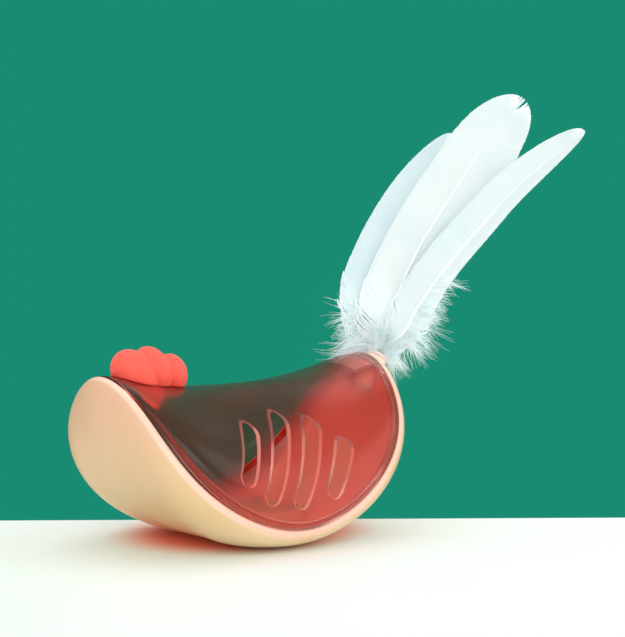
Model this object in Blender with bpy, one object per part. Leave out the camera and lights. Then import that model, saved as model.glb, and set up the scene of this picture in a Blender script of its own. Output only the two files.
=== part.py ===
"""Rocking cat toy with a feather tail.

A cream base shell, bent up at both ends, and a see-through red cover, bent down at both
sides, meet at a wavy seam. The base carries a cast weight under a screwed tray and a socket
for the tail. A soft comb stops the filling hole in the cover. Three feathers stand in a
ferrule that turns in a soft sleeve, and the sleeve pulls out of the socket.
Metres, +Z up. X runs from the comb to the feathers. The origin lies on the table, at the
middle of the flat foot.
"""
import math

import bmesh
import bpy
import numpy as np
from mathutils import Vector

MM = 0.001

# Casing: the tips of the seam, seen from the middle of the casing
seam_half_length = 69.0 * MM
seam_half_width = 48.0 * MM
end_rise = 32.5 * MM
side_drop = 33.0 * MM
keel_depth = 43.0 * MM
roof_rise = 24.3 * MM
foot_cut = 0.5 * MM

# Casing: reach of the curve handles along each profile
keel_reach_long = 64.0 * MM
keel_reach_cross = 40.0 * MM
end_handle = 17.0 * MM
side_handle = 8.0 * MM
roof_reach_long = 52.0 * MM
roof_reach_cross = 22.0 * MM
roof_end_handle = 8.0 * MM
roof_side_handle = 25.0 * MM
end_angle = 180.0
side_angle = 70.0
roof_end_angle = 176.0
roof_side_angle = 48.0

# Casing: how the seam and the shells swell between the four tips
swell_length_share = 0.16
swell_width_share = 0.14
skew_length_share = -0.11
skew_width_share = 0.06
seam_lift = 4.0 * MM

# Shell walls and the joint between them
base_wall = 2.2 * MM
cover_wall = 1.8 * MM
fit_gap = 0.3 * MM
seam_gap = 0.4 * MM
rim_round = 0.9 * MM
cover_round = 0.5 * MM
lip_wall = 1.2 * MM
lip_length = 3.0 * MM
lip_root = 1.6 * MM
rim_band = 7.5 * MM
lip_run_out = 5.0 * MM
overrun = 3.0 * MM

# Snap hooks under the lip
hook_count = 4
hook_half_turn_share = 0.06
hook_length = 4.0 * MM
hook_barb = 0.8 * MM
hook_barb_length = 1.4 * MM
hook_bite = 1.1 * MM
hook_inset = 0.15 * MM

# Slots in the cover's near side
slot_width = 7.4 * MM
slot_spacing = 14.2 * MM
slot_row_fall = 3.0 * MM
slot_row_offset = 2.1 * MM
slot_height = 38.2 * MM
slot_long = 41.0 * MM
slot_short = 27.5 * MM
slot_slant = 35.0
slot_inner_reach = 12.0 * MM

# Comb
comb_offset = 45.5 * MM
comb_middle_length = 8.5 * MM
comb_middle_width = 8.8 * MM
comb_middle_height = 9.6 * MM
comb_middle_lift = 6.0 * MM
comb_outer_length = 10.5 * MM
comb_outer_width = 8.0 * MM
comb_outer_height = 8.2 * MM
comb_outer_step = 10.0 * MM
comb_outer_lift = 6.3 * MM
comb_inner_length = 8.5 * MM
comb_inner_width = 8.0 * MM
comb_inner_height = 8.2 * MM
comb_inner_step = 11.0 * MM
comb_inner_lift = 3.6 * MM
stem_radius = 5.0 * MM
stem_wall = 1.4 * MM
stem_length = 7.0 * MM

# Ballast
weight_length = 30.0 * MM
weight_width = 32.0 * MM
weight_top = 10.4 * MM
tray_wall = 1.6 * MM
tray_corner = 6.0 * MM
boss_radius = 3.0 * MM
boss_clearance = 1.0 * MM

# Tray screws
screw_radius = 1.25 * MM
screw_length = 7.5 * MM
screw_head_radius = 2.6 * MM
screw_head_height = 1.6 * MM
screw_head_edge_share = 0.6
screw_head_top_share = 0.7
screw_recess_radius = 1.2 * MM
screw_recess_depth = 0.9 * MM
screw_clearance = 0.3 * MM

# Tail socket, sleeve and ferrule, all on one slanted axis
socket_keel_share = 0.84
socket_lean = 35.0
socket_stand_out = 3.0 * MM
socket_depth = 12.0 * MM
socket_wall = 0.8 * MM
socket_set_back = 7.0 * MM
socket_half_width = 15.0 * MM
socket_point_drop = 8.4 * MM
socket_shoulder_drop = 4.0 * MM
sleeve_wall = 0.8 * MM
flange_thickness = 1.2 * MM
sleeve_length = 11.0 * MM
ferrule_wall = 0.3 * MM
ferrule_length = 14.0 * MM
ferrule_stand_out = 3.5 * MM

# Feathers: each one's place round the ferrule, the half widths of its two vanes, where the
# vane starts, how blunt its tip is, and its shaft's way from the mouth
feather_length = 140.0 * MM
quill_radius = 0.85 * MM
quill_tip_radius = 0.3 * MM
quill_insert = 10.0 * MM
quill_run_out = 2.5 * MM
vane_half_thickness = 0.25 * MM
vane_least_half_width = 0.5 * MM
left_vane_outer = 11.5 * MM
left_vane_inner = 11.0 * MM
center_vane_outer = 13.0 * MM
center_vane_inner = 15.5 * MM
right_vane_outer = 11.0 * MM
right_vane_inner = 6.0 * MM
vane_camber = 1.5 * MM
vane_blend_share = 0.06
vane_opening_share = 0.3
fan_facing = -36.0
feather_angles = {"feather_left": 90.0, "feather_center": 210.0, "feather_right": 330.0}
vane_half_widths = {"feather_left": (left_vane_outer, left_vane_inner),
                    "feather_center": (center_vane_outer, center_vane_inner),
                    "feather_right": (right_vane_outer, right_vane_inner)}
vane_start_shares = {"feather_left": 0.1, "feather_center": 0.1, "feather_right": 0.12}
tip_powers = {"feather_left": 7.0, "feather_center": 9.0, "feather_right": 4.0}
feather_way_shares = {
    "feather_left": ((0.005, 0.035, 0.1), (0.01, 0.064, 0.2), (0.069, 0.079, 0.304),
                     (0.199, 0.093, 0.482), (0.425, 0.11, 0.71)),
    "feather_center": ((0.035, -0.012, 0.11), (0.085, -0.026, 0.23), (0.16, -0.043, 0.37),
                       (0.27, -0.064, 0.522), (0.39, -0.086, 0.687), (0.527, -0.107, 0.812)),
    "feather_right": ((0.06, -0.05, 0.07), (0.113, -0.08, 0.17), (0.195, -0.122, 0.296),
                      (0.287, -0.157, 0.402), (0.376, -0.207, 0.514), (0.484, -0.264, 0.62),
                      (0.593, -0.321, 0.716)),
}

# Down at the foot of the feathers
down_high_half_width = 7.0 * MM
down_low_half_width = 4.5 * MM
down_stem_half_width = 1.0 * MM
down_half_thickness = 0.35 * MM
down_gap = 0.4 * MM
down_opening_share = 0.6
down_tip_power = 5.0
down_angles = {"down_tuft_1": 150.0, "down_tuft_2": 200.0, "down_tuft_3": 340.0, "down_tuft_4": 20.0}
down_half_widths = {"down_tuft_1": down_high_half_width, "down_tuft_2": down_low_half_width,
                    "down_tuft_3": down_high_half_width, "down_tuft_4": down_low_half_width}
down_way_shares = {
    "down_tuft_1": ((-0.05, 0.02, 0.08), (-0.11, 0.035, 0.13), (-0.18, 0.05, 0.19)),
    "down_tuft_2": ((-0.04, -0.01, 0.06), (-0.11, 0.0, 0.09), (-0.19, 0.01, 0.1)),
    "down_tuft_3": ((0.09, -0.03, 0.03), (0.17, -0.05, 0.08), (0.26, -0.068, 0.16)),
    "down_tuft_4": ((0.06, -0.005, 0.01), (0.12, -0.012, 0.0), (0.18, -0.02, -0.01)),
}

# Counts of facets, and the small step in s and in t that gives the face's slopes
around = 48
tube_sides = 20
screw_sides = 12
ball_turns = 20
ball_rings = 12
hook_rows = 5
socket_rows = 16
socket_points = 8
feather_steps = 24
down_steps = 9
slope_step_share = 0.01

middle_height = keel_depth - foot_cut
turn = np.linspace(0.0, 2.0 * math.pi, around, endpoint=False)


def direction(angle):
    """Unit vector in a profile's plane, at an angle in degrees from its outward axis."""
    return np.array([math.cos(math.radians(angle)), math.sin(math.radians(angle))])


def bezier(points, u):
    """Points of a cubic curve at the values u."""
    p = np.asarray(points)
    u = np.asarray(u)[..., None]
    v = 1.0 - u
    return v**3 * p[0] + 3.0 * v**2 * u * p[1] + 3.0 * v * u**2 * p[2] + u**3 * p[3]


end_tip = np.array([seam_half_length, end_rise])
side_tip = np.array([seam_half_width, -side_drop])
long_keel = [(0.0, -keel_depth), (keel_reach_long, -keel_depth),
             end_tip - end_handle * direction(end_angle), end_tip]
long_roof = [end_tip, end_tip + roof_end_handle * direction(roof_end_angle),
             (roof_reach_long, roof_rise), (0.0, roof_rise)]
cross_keel = [(0.0, -keel_depth), (keel_reach_cross, -keel_depth),
              side_tip - side_handle * direction(side_angle), side_tip]
cross_roof = [side_tip, side_tip + roof_side_handle * direction(roof_side_angle),
              (roof_reach_cross, roof_rise), (0.0, roof_rise)]


def surface(s, t):
    """The casing's outer face. s runs from the keel's middle (0) over the seam (1) to the
    roof's middle (2), and t runs once round. The long and the cross profile are mixed by the
    squares of the cosine and the sine of t, with a swelling between the four tips."""
    s, t = np.broadcast_arrays(np.asarray(s, float), np.asarray(t, float))
    upper = (s > 1.0)[..., None]
    low = np.minimum(s, 1.0)
    high = np.maximum(s - 1.0, 0.0)
    length_way = np.where(upper, bezier(long_roof, high), bezier(long_keel, low))
    width_way = np.where(upper, bezier(cross_roof, high), bezier(cross_keel, low))
    swell = np.sin(2.0 * t)**2 * np.sin(0.5 * math.pi * s)
    skew = swell * np.cos(2.0 * t)
    x = length_way[..., 0] * np.cos(t) * (1.0 + swell_length_share * swell + skew_length_share * skew)
    y = width_way[..., 0] * np.sin(t) * (1.0 + swell_width_share * swell + skew_width_share * skew)
    z = length_way[..., 1] * np.cos(t)**2 + width_way[..., 1] * np.sin(t)**2 + seam_lift * skew
    return np.stack([x, y, z + middle_height], -1)


def inside(s, t, depth):
    """The point at a depth under the outer face, along the face's normal."""
    step = slope_step_share
    along = surface(s + step, t) - surface(s - step, t)
    round_way = surface(s, t + step) - surface(s, t - step)
    normal = np.cross(round_way, along)
    normal /= np.linalg.norm(normal, axis=-1, keepdims=True)
    return surface(s, t) - depth * normal


def from_seam(distance, t=turn):
    """The value of s at a distance from the seam, measured on the face, above it if positive."""
    step = math.copysign(slope_step_share, distance)
    speed = np.linalg.norm(surface(1.0 + step, t) - surface(1.0, t), axis=-1) / abs(step)
    return 1.0 + distance / speed


def keel_ring(share, depth):
    return inside(from_seam(-rim_band) * share, turn, depth)


def roof_ring(share, depth):
    foot = from_seam(lip_run_out)
    return inside(foot + (2.0 - foot) * share, turn, depth)


def seam_ring(distance, depth):
    return inside(from_seam(distance), turn, depth)


keel_ring_shares = (0.02, 0.08, 0.18, 0.32, 0.46, 0.6, 0.74, 0.88, 1.0)
roof_ring_shares = (0.0, 0.12, 0.28, 0.45, 0.62, 0.8, 0.93)


def keel_pole(depth):
    return (0.0, 0.0, middle_height - keel_depth + depth)


def roof_pole(depth):
    return (0.0, 0.0, middle_height + roof_rise - depth)


def material(name, color, roughness, metallic=0.0, transmission=0.0):
    made = bpy.data.materials.new(name)
    made.use_nodes = True
    shader = made.node_tree.nodes["Principled BSDF"]
    shader.inputs["Base Color"].default_value = (*color, 1.0)
    shader.inputs["Roughness"].default_value = roughness
    shader.inputs["Metallic"].default_value = metallic
    shader.inputs["Transmission Weight"].default_value = transmission
    made.diffuse_color = (*color, 1.0)
    return made


def make_object(name, vertices, faces, look=None, origin=(0.0, 0.0, 0.0), sharp=40.0):
    """A closed mesh with its faces turned outward. Without a look it is a cutter or a guide."""
    mesh = bpy.data.meshes.new(name)
    mesh.from_pydata([Vector(v) - Vector(origin) for v in vertices], [], faces)
    mesh.validate()
    turn_faces_out(mesh)
    mesh.shade_smooth()
    mesh.set_sharp_from_angle(angle=math.radians(sharp))
    made = bpy.data.objects.new(name, mesh)
    made.location = origin
    bpy.context.scene.collection.objects.link(made)
    if look is None:
        made.hide_render = True
        made.display_type = "WIRE"
    else:
        mesh.materials.append(look)
    return made


def turn_faces_out(mesh):
    edit = bmesh.new()
    edit.from_mesh(mesh)
    bmesh.ops.recalc_face_normals(edit, faces=edit.faces)
    edit.to_mesh(mesh)
    edit.free()


def strip_faces(first, second, count):
    """Quads between two rings of vertices, given by their first indices."""
    return [(first + i, first + (i + 1) % count, second + (i + 1) % count, second + i)
            for i in range(count)]


def skin_rings(rings, start=None, end=None):
    """Vertices and faces of a tube over the rings, closed by a fan at each end."""
    count = len(rings[0])
    start = np.mean(rings[0], axis=0) if start is None else start
    end = np.mean(rings[-1], axis=0) if end is None else end
    vertices = [tuple(v) for ring in rings for v in ring] + [tuple(start), tuple(end)]
    faces = []
    for i in range(len(rings) - 1):
        faces += strip_faces(i * count, (i + 1) * count, count)
    first, last = len(rings) * count, (len(rings) - 1) * count
    faces += [(first, (i + 1) % count, i) for i in range(count)]
    faces += [(first + 1, last + i, last + (i + 1) % count) for i in range(count)]
    return vertices, faces


def change(target, tool, operation):
    step = target.modifiers.new(operation.lower() + "_" + tool.name, "BOOLEAN")
    step.operation = operation
    step.object = tool


def cut(target, tool):
    change(target, tool, "DIFFERENCE")


def add(target, tool):
    change(target, tool, "UNION")


def cylinder(name, start, axis, length, radius, look=None, origin=(0.0, 0.0, 0.0), end_radius=None):
    """A round bar from start along axis."""
    frame = Vector(axis).to_track_quat("Z", "Y").to_matrix()
    rings = []
    for height, size in ((0.0, radius), (length, radius if end_radius is None else end_radius)):
        rings.append([Vector(start) + frame @ Vector((size * math.cos(a), size * math.sin(a), height))
                      for a in np.linspace(0.0, 2.0 * math.pi, tube_sides, endpoint=False)])
    vertices, faces = skin_rings(rings)
    return make_object(name, vertices, faces, look, origin)


def turned(name, outline, start, axis, look=None, origin=(0.0, 0.0, 0.0)):
    """A turned piece: a closed outline of (radius, height) pairs swung round an axis."""
    frame = Vector(axis).to_track_quat("Z", "Y").to_matrix()
    vertices = []
    for a in np.linspace(0.0, 2.0 * math.pi, tube_sides, endpoint=False):
        vertices += [Vector(start) + frame @ Vector((r * math.cos(a), r * math.sin(a), h))
                     for r, h in outline]
    count = len(outline)
    faces = []
    for i in range(tube_sides):
        faces += strip_faces(i * count, (i + 1) % tube_sides * count, count)
    return make_object(name, vertices, faces, look, origin)


def prism(name, outline, low, high, look=None, origin=(0.0, 0.0, 0.0)):
    """A flat outline pushed from one plane to another: low and high map a pair to a point."""
    count = len(outline)
    vertices = [low(*p) for p in outline] + [high(*p) for p in outline]
    faces = strip_faces(0, count, count) + [tuple(range(count)), tuple(range(count, 2 * count))]
    return make_object(name, vertices, faces, look, origin)


def rounded_rectangle(half_length, half_width, corner, points=4):
    """Outline of a rectangle with round corners, anticlockwise."""
    outline = []
    for quarter in range(4):
        a0 = 0.5 * math.pi * quarter
        cx = (half_length - corner) * (1 if quarter in (0, 3) else -1)
        cy = (half_width - corner) * (1 if quarter in (0, 1) else -1)
        for a in np.linspace(a0, a0 + 0.5 * math.pi, points):
            outline.append((cx + corner * math.cos(a), cy + corner * math.sin(a)))
    return outline


def standing_block(name, outline, bottom, top, look=None):
    return prism(name, outline, lambda x, y: (x, y, bottom), lambda x, y: (x, y, top), look)


def inner_form(name, depth):
    """The whole casing shrunk by a depth, or swollen by a negative one, as a guide."""
    rings = [keel_ring(share, depth) for share in keel_ring_shares]
    rings += [seam_ring(distance, depth) for distance in reversed(rim_steps)] + [seam_ring(seam_gap, depth)]
    rings += [roof_ring(share, depth) for share in roof_ring_shares]
    vertices, faces = skin_rings(rings, keel_pole(depth), roof_pole(depth))
    return make_object(name, vertices, faces)


def surface_block(name, middle_turn, half_turn, outline, caps=((0, 1, 2, 3),), rows=hook_rows):
    """A small block bent to the casing: an outline of (distance from the seam, depth) pairs,
    carried along the seam between two turns. The caps are the faces that close its ends."""
    turns = np.linspace(middle_turn - half_turn, middle_turn + half_turn, rows)
    vertices = [tuple(inside(from_seam(distance, t), t, depth)) for t in turns for distance, depth in outline]
    count = len(outline)
    faces = []
    for i in range(len(turns) - 1):
        faces += strip_faces(i * count, (i + 1) * count, count)
    for first in (0, len(vertices) - count):
        faces += [tuple(first + i for i in cap) for cap in caps]
    return make_object(name, vertices, faces)


def roof_height(x):
    """Height of the roof's outer face over a place on the long middle line."""
    s = np.linspace(1.0, 2.0, 201)
    line = surface(s, 0.0)
    return float(np.interp(abs(x), line[::-1, 0], line[::-1, 2]))


cream = material("cream_plastic", (0.72, 0.47, 0.29), 0.35)
red = material("clear_red_plastic", (0.75, 0.06, 0.05), 0.08, transmission=0.8)
coral = material("coral_silicone", (0.89, 0.09, 0.06), 0.5)
iron = material("cast_iron", (0.08, 0.08, 0.085), 0.6, metallic=1.0)
steel = material("zinc_steel", (0.6, 0.6, 0.62), 0.3, metallic=1.0)
blush = material("blush_silicone", (0.9, 0.62, 0.55), 0.5)
silver = material("aluminium", (0.75, 0.76, 0.78), 0.35, metallic=1.0)
white = material("white_feather", (0.93, 0.97, 1.0), 0.8)

lip_depth = base_wall + fit_gap
lip_steps = (-0.5 * seam_gap, -0.35 * lip_length, -0.7 * lip_length, -lip_length)
rim_steps = lip_steps + (-lip_length - 0.4 * hook_length, -lip_length - 0.8 * hook_length)
hook_turns = [math.pi * (0.25 + 2.0 * i / hook_count) for i in range(hook_count)]
hook_half_turn = 2.0 * math.pi * hook_half_turn_share / hook_count
pocket_slack = 0.1 * hook_half_turn
hook_tip = -lip_length - hook_length

# The socket's axis starts on the base's outer face, near the top of the tail end
socket_way = Vector((math.sin(math.radians(socket_lean)), 0.0, math.cos(math.radians(socket_lean))))
socket_root = Vector(surface(socket_keel_share, 0.0))
mouth = socket_root + socket_way * socket_stand_out
quill_circle = (2.0 * quill_radius + fit_gap) / math.sqrt(3.0)
ferrule_radius = quill_circle + quill_radius + fit_gap + ferrule_wall
sleeve_radius = ferrule_radius + fit_gap + sleeve_wall
bore_radius = sleeve_radius + fit_gap
neck_radius = bore_radius + socket_wall


def base_shell():
    rings = [keel_ring(share, 0.0) for share in keel_ring_shares]
    half_gap = 0.5 * seam_gap
    rings += [seam_ring(distance, 0.0) for distance in reversed(rim_steps[2:])]
    rings += [seam_ring(-half_gap - rim_round, 0.0), seam_ring(-half_gap, rim_round)]
    rings += [seam_ring(distance, base_wall) for distance in rim_steps]
    rings += [keel_ring(share, base_wall) for share in reversed(keel_ring_shares)]
    vertices, faces = skin_rings(rings, keel_pole(0.0), keel_pole(base_wall))
    shell = make_object("base_shell", vertices, faces, cream)
    half = seam_half_length + overrun
    foot = standing_block("foot_plane", [(-half, -half), (half, -half), (half, half), (-half, half)],
                          -half, 0.0)
    cut(shell, foot)
    add(shell, bosses())
    cut(shell, neck_space)
    low = hook_tip - fit_gap
    high = hook_tip + hook_barb_length + fit_gap
    shallow = lip_depth - hook_barb - fit_gap
    for i, t in enumerate(hook_turns):
        cut(shell, surface_block(f"pocket_{i}", t, hook_half_turn + pocket_slack,
                                 [(low, shallow), (high, shallow), (high, lip_depth + overrun),
                                  (low, lip_depth + overrun)]))
    return shell


def cover_shell():
    deep = lip_depth + lip_wall
    half_gap = 0.5 * seam_gap
    rings = [roof_ring(share, 0.0) for share in reversed(roof_ring_shares)]
    rings += [seam_ring(half_gap + cover_round, 0.0), seam_ring(half_gap, cover_round)]
    rings += [seam_ring(half_gap, lip_depth)] + [seam_ring(distance, lip_depth) for distance in lip_steps]
    rings += [seam_ring(distance, deep) for distance in reversed(lip_steps)] + [seam_ring(lip_root, deep)]
    rings += [roof_ring(share, cover_wall) for share in roof_ring_shares]
    vertices, faces = skin_rings(rings, roof_pole(0.0), roof_pole(cover_wall))
    shell = make_object("cover_shell", vertices, faces, red)
    cut(shell, socket_space())
    cut(shell, neck_space)
    shallow = lip_depth + hook_inset
    root = hook_bite - lip_length
    back = deep - hook_inset
    barb_depth = lip_depth - hook_barb
    barb_end = hook_tip + hook_barb_length
    outline = [(hook_tip, barb_depth), (barb_end, barb_depth), (barb_end, shallow), (root, shallow),
               (root, back), (barb_end, back), (hook_tip, back), (hook_tip, shallow)]
    for i, t in enumerate(hook_turns):
        add(shell, surface_block(f"hook_{i}", t, hook_half_turn, outline,
                                 ((0, 1, 2, 7), (7, 2, 5, 6), (2, 3, 4, 5))))
    for i in range(4):
        cut(shell, slot_cutter(i))
    cut(shell, filling_hole)
    return shell


def socket_space():
    """The room for the socket's wedge under the cover's wall, taken out of the lip."""
    distances = np.linspace(-lip_length - lip_root, socket_set_back + fit_gap, socket_points)
    outline = [(distance, cover_wall + fit_gap) for distance in distances]
    outline += [(distance, lip_depth + 2.0 * lip_wall) for distance in reversed(distances)]
    last = len(outline) - 1
    caps = [(i, i + 1, last - i - 1, last - i) for i in range(socket_points - 1)]
    half_turn = math.asin((socket_half_width + lip_depth) / seam_half_width)
    return surface_block("socket_space", 0.0, half_turn, outline, caps, socket_rows)


def slot_cutter(i):
    """One slot of the row: a slanted stadium pushed through the near side along Y."""
    place = i - 1.5
    middle_x = slot_spacing * place - slot_row_offset
    middle_z = slot_height - slot_row_fall * place
    length = slot_long if i in (1, 2) else slot_short
    radius = 0.5 * slot_width
    lean = math.radians(slot_slant)
    along = np.array([math.sin(lean), math.cos(lean)])
    aside = np.array([math.cos(lean), -math.sin(lean)])
    outline = []
    for end, first in ((1, 0.0), (-1, math.pi)):
        for a in np.linspace(first, first + math.pi, 8):
            offset = radius * (math.cos(a) * aside + math.sin(a) * along)
            outline.append(tuple(np.array([middle_x, middle_z])
                                 + end * (0.5 * length - radius) * along + offset))
    outer = seam_half_width + roof_side_handle
    return prism(f"slot_{i}", outline, lambda x, z: (x, -outer, z), lambda x, z: (x, -slot_inner_reach, z))


def ball(name, middle, half_sizes, look=None, origin=(0.0, 0.0, 0.0)):
    rings = []
    for k in range(1, ball_rings):
        a = math.pi * k / ball_rings
        rings.append([(middle[0] + half_sizes[0] * math.sin(a) * math.cos(b),
                       middle[1] + half_sizes[1] * math.sin(a) * math.sin(b),
                       middle[2] - half_sizes[2] * math.cos(a))
                      for b in np.linspace(0.0, 2.0 * math.pi, ball_turns, endpoint=False)])
    low = (middle[0], middle[1], middle[2] - half_sizes[2])
    high = (middle[0], middle[1], middle[2] + half_sizes[2])
    vertices, faces = skin_rings(rings, low, high)
    return make_object(name, vertices, faces, look, origin)


def comb_stopper():
    """Three soft lobes in a row on the roof, over a hollow stem in the filling hole."""
    x = -comb_offset
    seat = roof_height(x)
    comb = ball("comb_stopper", (x, 0.0, seat + comb_middle_lift),
                (comb_middle_length, comb_middle_width, comb_middle_height), coral, (x, 0.0, seat))
    outer_x = x - comb_outer_step
    inner_x = x + comb_inner_step
    add(comb, ball("outer_lobe", (outer_x, 0.0, seat + comb_outer_lift),
                   (comb_outer_length, comb_outer_width, comb_outer_height)))
    add(comb, ball("inner_lobe", (inner_x, 0.0, seat + comb_inner_lift),
                   (comb_inner_length, comb_inner_width, comb_inner_height)))
    cut(comb, inner_form("comb_seat", -fit_gap))
    foot = seat - cover_wall - stem_length
    add(comb, cylinder("stem", (x, 0.0, foot), (0, 0, 1), seat + comb_middle_lift - foot, stem_radius))
    cut(comb, cylinder("stem_hollow", (x, 0.0, foot - overrun), (0, 0, 1),
                       seat - foot + overrun, stem_radius - stem_wall))
    return comb


def boss_places():
    x = 0.5 * weight_length + boss_radius + boss_clearance
    y = 0.5 * weight_width - boss_radius
    return [(x, y), (-x, y), (-x, -y), (x, -y)]


def keel_height(x):
    """Height of the keel's outer face over the table at a place on the long middle line."""
    line = surface(np.linspace(0.0, 1.0, 201), 0.0)
    return float(np.interp(abs(x), line[:, 0], line[:, 2]))


def boss_foot():
    """A height in the middle of the base's wall, under the bosses."""
    return keel_height(boss_places()[0][0]) + 0.5 * base_wall


def bosses():
    """Four round posts with blind holes for the tray's screws, as one tool."""
    pilot_foot = screw_seat() - screw_length - screw_clearance
    pilot_radius = screw_radius + screw_clearance
    outline = [(boss_radius, boss_foot()), (boss_radius, weight_top), (pilot_radius, weight_top),
               (pilot_radius, pilot_foot)]
    vertices, faces = [], []
    for x, y in boss_places():
        rings = [[(x + r * math.cos(a), y + r * math.sin(a), h)
                  for a in np.linspace(0.0, 2.0 * math.pi, tube_sides, endpoint=False)] for r, h in outline]
        post_vertices, post_faces = skin_rings(rings, (x, y, boss_foot()), (x, y, pilot_foot))
        faces += [tuple(len(vertices) + i for i in face) for face in post_faces]
        vertices += post_vertices
    return make_object("bosses", vertices, faces)


def tray_underside():
    return weight_top + fit_gap


def screw_seat():
    """Height of the underside of the screws' heads."""
    return tray_underside() + tray_wall + fit_gap


def tray_half_sizes():
    x, y = boss_places()[0]
    reach = boss_radius + boss_clearance + tray_wall
    return x + reach, 0.5 * weight_width + boss_clearance + tray_wall


def counterweight():
    """A cast block whose underside follows the base's floor."""
    outline = rounded_rectangle(0.5 * weight_length, 0.5 * weight_width, boss_clearance)
    block = standing_block("counterweight", outline, -foot_cut, weight_top, iron)
    change(block, floor_form, "INTERSECT")
    return block


def ballast_tray():
    """An upturned tray over the weight, screwed to four bosses."""
    half_x, half_y = tray_half_sizes()
    underside = tray_underside()
    top = underside + tray_wall
    tray = standing_block("ballast_tray", rounded_rectangle(half_x, half_y, tray_corner), -foot_cut, top, cream)
    change(tray, floor_form, "INTERSECT")
    cut(tray, standing_block("tray_hollow", rounded_rectangle(half_x - tray_wall, half_y - tray_wall,
                                                              tray_corner - tray_wall), -overrun, underside))
    for i, (x, y) in enumerate(boss_places()):
        cut(tray, cylinder(f"tray_hole_{i}", (x, y, underside - overrun), (0, 0, 1),
                           tray_wall + 2.0 * overrun, screw_radius + screw_clearance))
    return tray


def tray_screws():
    """Four pan-head screws that share one mesh, each with a round recess in its head."""
    seat = screw_seat()
    outline = [(0.0, -screw_length), (screw_radius, -screw_length), (screw_radius, 0.0),
               (screw_head_radius, 0.0), (screw_head_radius, screw_head_edge_share * screw_head_height),
               (screw_head_top_share * screw_head_radius, screw_head_height),
               (screw_recess_radius, screw_head_height),
               (screw_recess_radius, screw_head_height - screw_recess_depth),
               (0.0, screw_head_height - screw_recess_depth)]
    rings = [[(r * math.cos(a), r * math.sin(a), h)
              for a in np.linspace(0.0, 2.0 * math.pi, screw_sides, endpoint=False)] for r, h in outline[1:-1]]
    vertices, faces = skin_rings(rings, (0.0, 0.0, outline[0][1]), (0.0, 0.0, outline[-1][1]))
    first = None
    for i, (x, y) in enumerate(boss_places()):
        if first is None:
            screw = first = make_object("tray_screw_1", vertices, faces, steel)
        else:
            screw = bpy.data.objects.new(f"tray_screw_{i + 1}", first.data)
            bpy.context.scene.collection.objects.link(screw)
        screw.location = (x, y, seat)


def wedge():
    """The socket's block: a shallow V seen along X, from a plane under the roof to past the tip."""
    top = middle_height + end_rise + overrun
    half = socket_half_width
    point = middle_height + end_rise - socket_point_drop
    shoulder = middle_height + end_rise - socket_shoulder_drop
    outline = [(-half, top), (-half, shoulder), (0.0, point), (half, shoulder), (half, top)]
    front = seam_half_length - socket_set_back
    back = seam_half_length + end_handle
    return prism("feather_socket", outline, lambda y, z: (front, y, z), lambda y, z: (back, y, z), cream)


def feather_socket():
    """A wedge under the tail end of the seam with a slanted tube that passes through the base."""
    block = wedge()
    change(block, floor_form, "INTERSECT")
    foot = socket_root - socket_way * socket_depth
    add(block, cylinder("neck", foot, socket_way, socket_depth + socket_stand_out, neck_radius))
    cut(block, cylinder("bore", foot - socket_way * overrun, socket_way,
                        socket_depth + socket_stand_out + 2.0 * overrun, bore_radius))
    return block


def feather_sleeve():
    """A soft bush in the socket with a flange over its mouth."""
    inner = ferrule_radius + fit_gap
    outline = [(inner, -sleeve_length), (sleeve_radius, -sleeve_length), (sleeve_radius, fit_gap),
               (neck_radius, fit_gap), (neck_radius, fit_gap + flange_thickness),
               (inner, fit_gap + flange_thickness)]
    return turned("feather_sleeve", outline, mouth, socket_way, blush, mouth)


def quill_ferrule():
    """A thin crimped tube round the three quills."""
    low = ferrule_stand_out - ferrule_length
    inner = ferrule_radius - ferrule_wall
    outline = [(inner, low), (ferrule_radius, low), (ferrule_radius, ferrule_stand_out),
               (inner, ferrule_stand_out)]
    return turned("quill_ferrule", outline, mouth, socket_way, silver, mouth)


def smooth_path(points, count):
    """A curve through the points, evenly stepped by chord length, with its tangents from the
    neighbours on either side."""
    p = np.asarray(points)
    chord = np.concatenate([[0.0], np.cumsum(np.linalg.norm(np.diff(p, axis=0), axis=1))])
    slope = np.gradient(p, chord, axis=0)
    at = np.linspace(0.0, chord[-1], count)
    k = np.clip(np.searchsorted(chord, at, side="right") - 1, 0, len(p) - 2)
    span = (chord[k + 1] - chord[k])[:, None]
    u = ((at - chord[k])[:, None]) / span
    return ((2*u**3 - 3*u**2 + 1) * p[k] + (u**3 - 2*u**2 + u) * span * slope[k]
            + (3*u**2 - 2*u**3) * p[k + 1] + (u**3 - u**2) * span * slope[k + 1])


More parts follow.
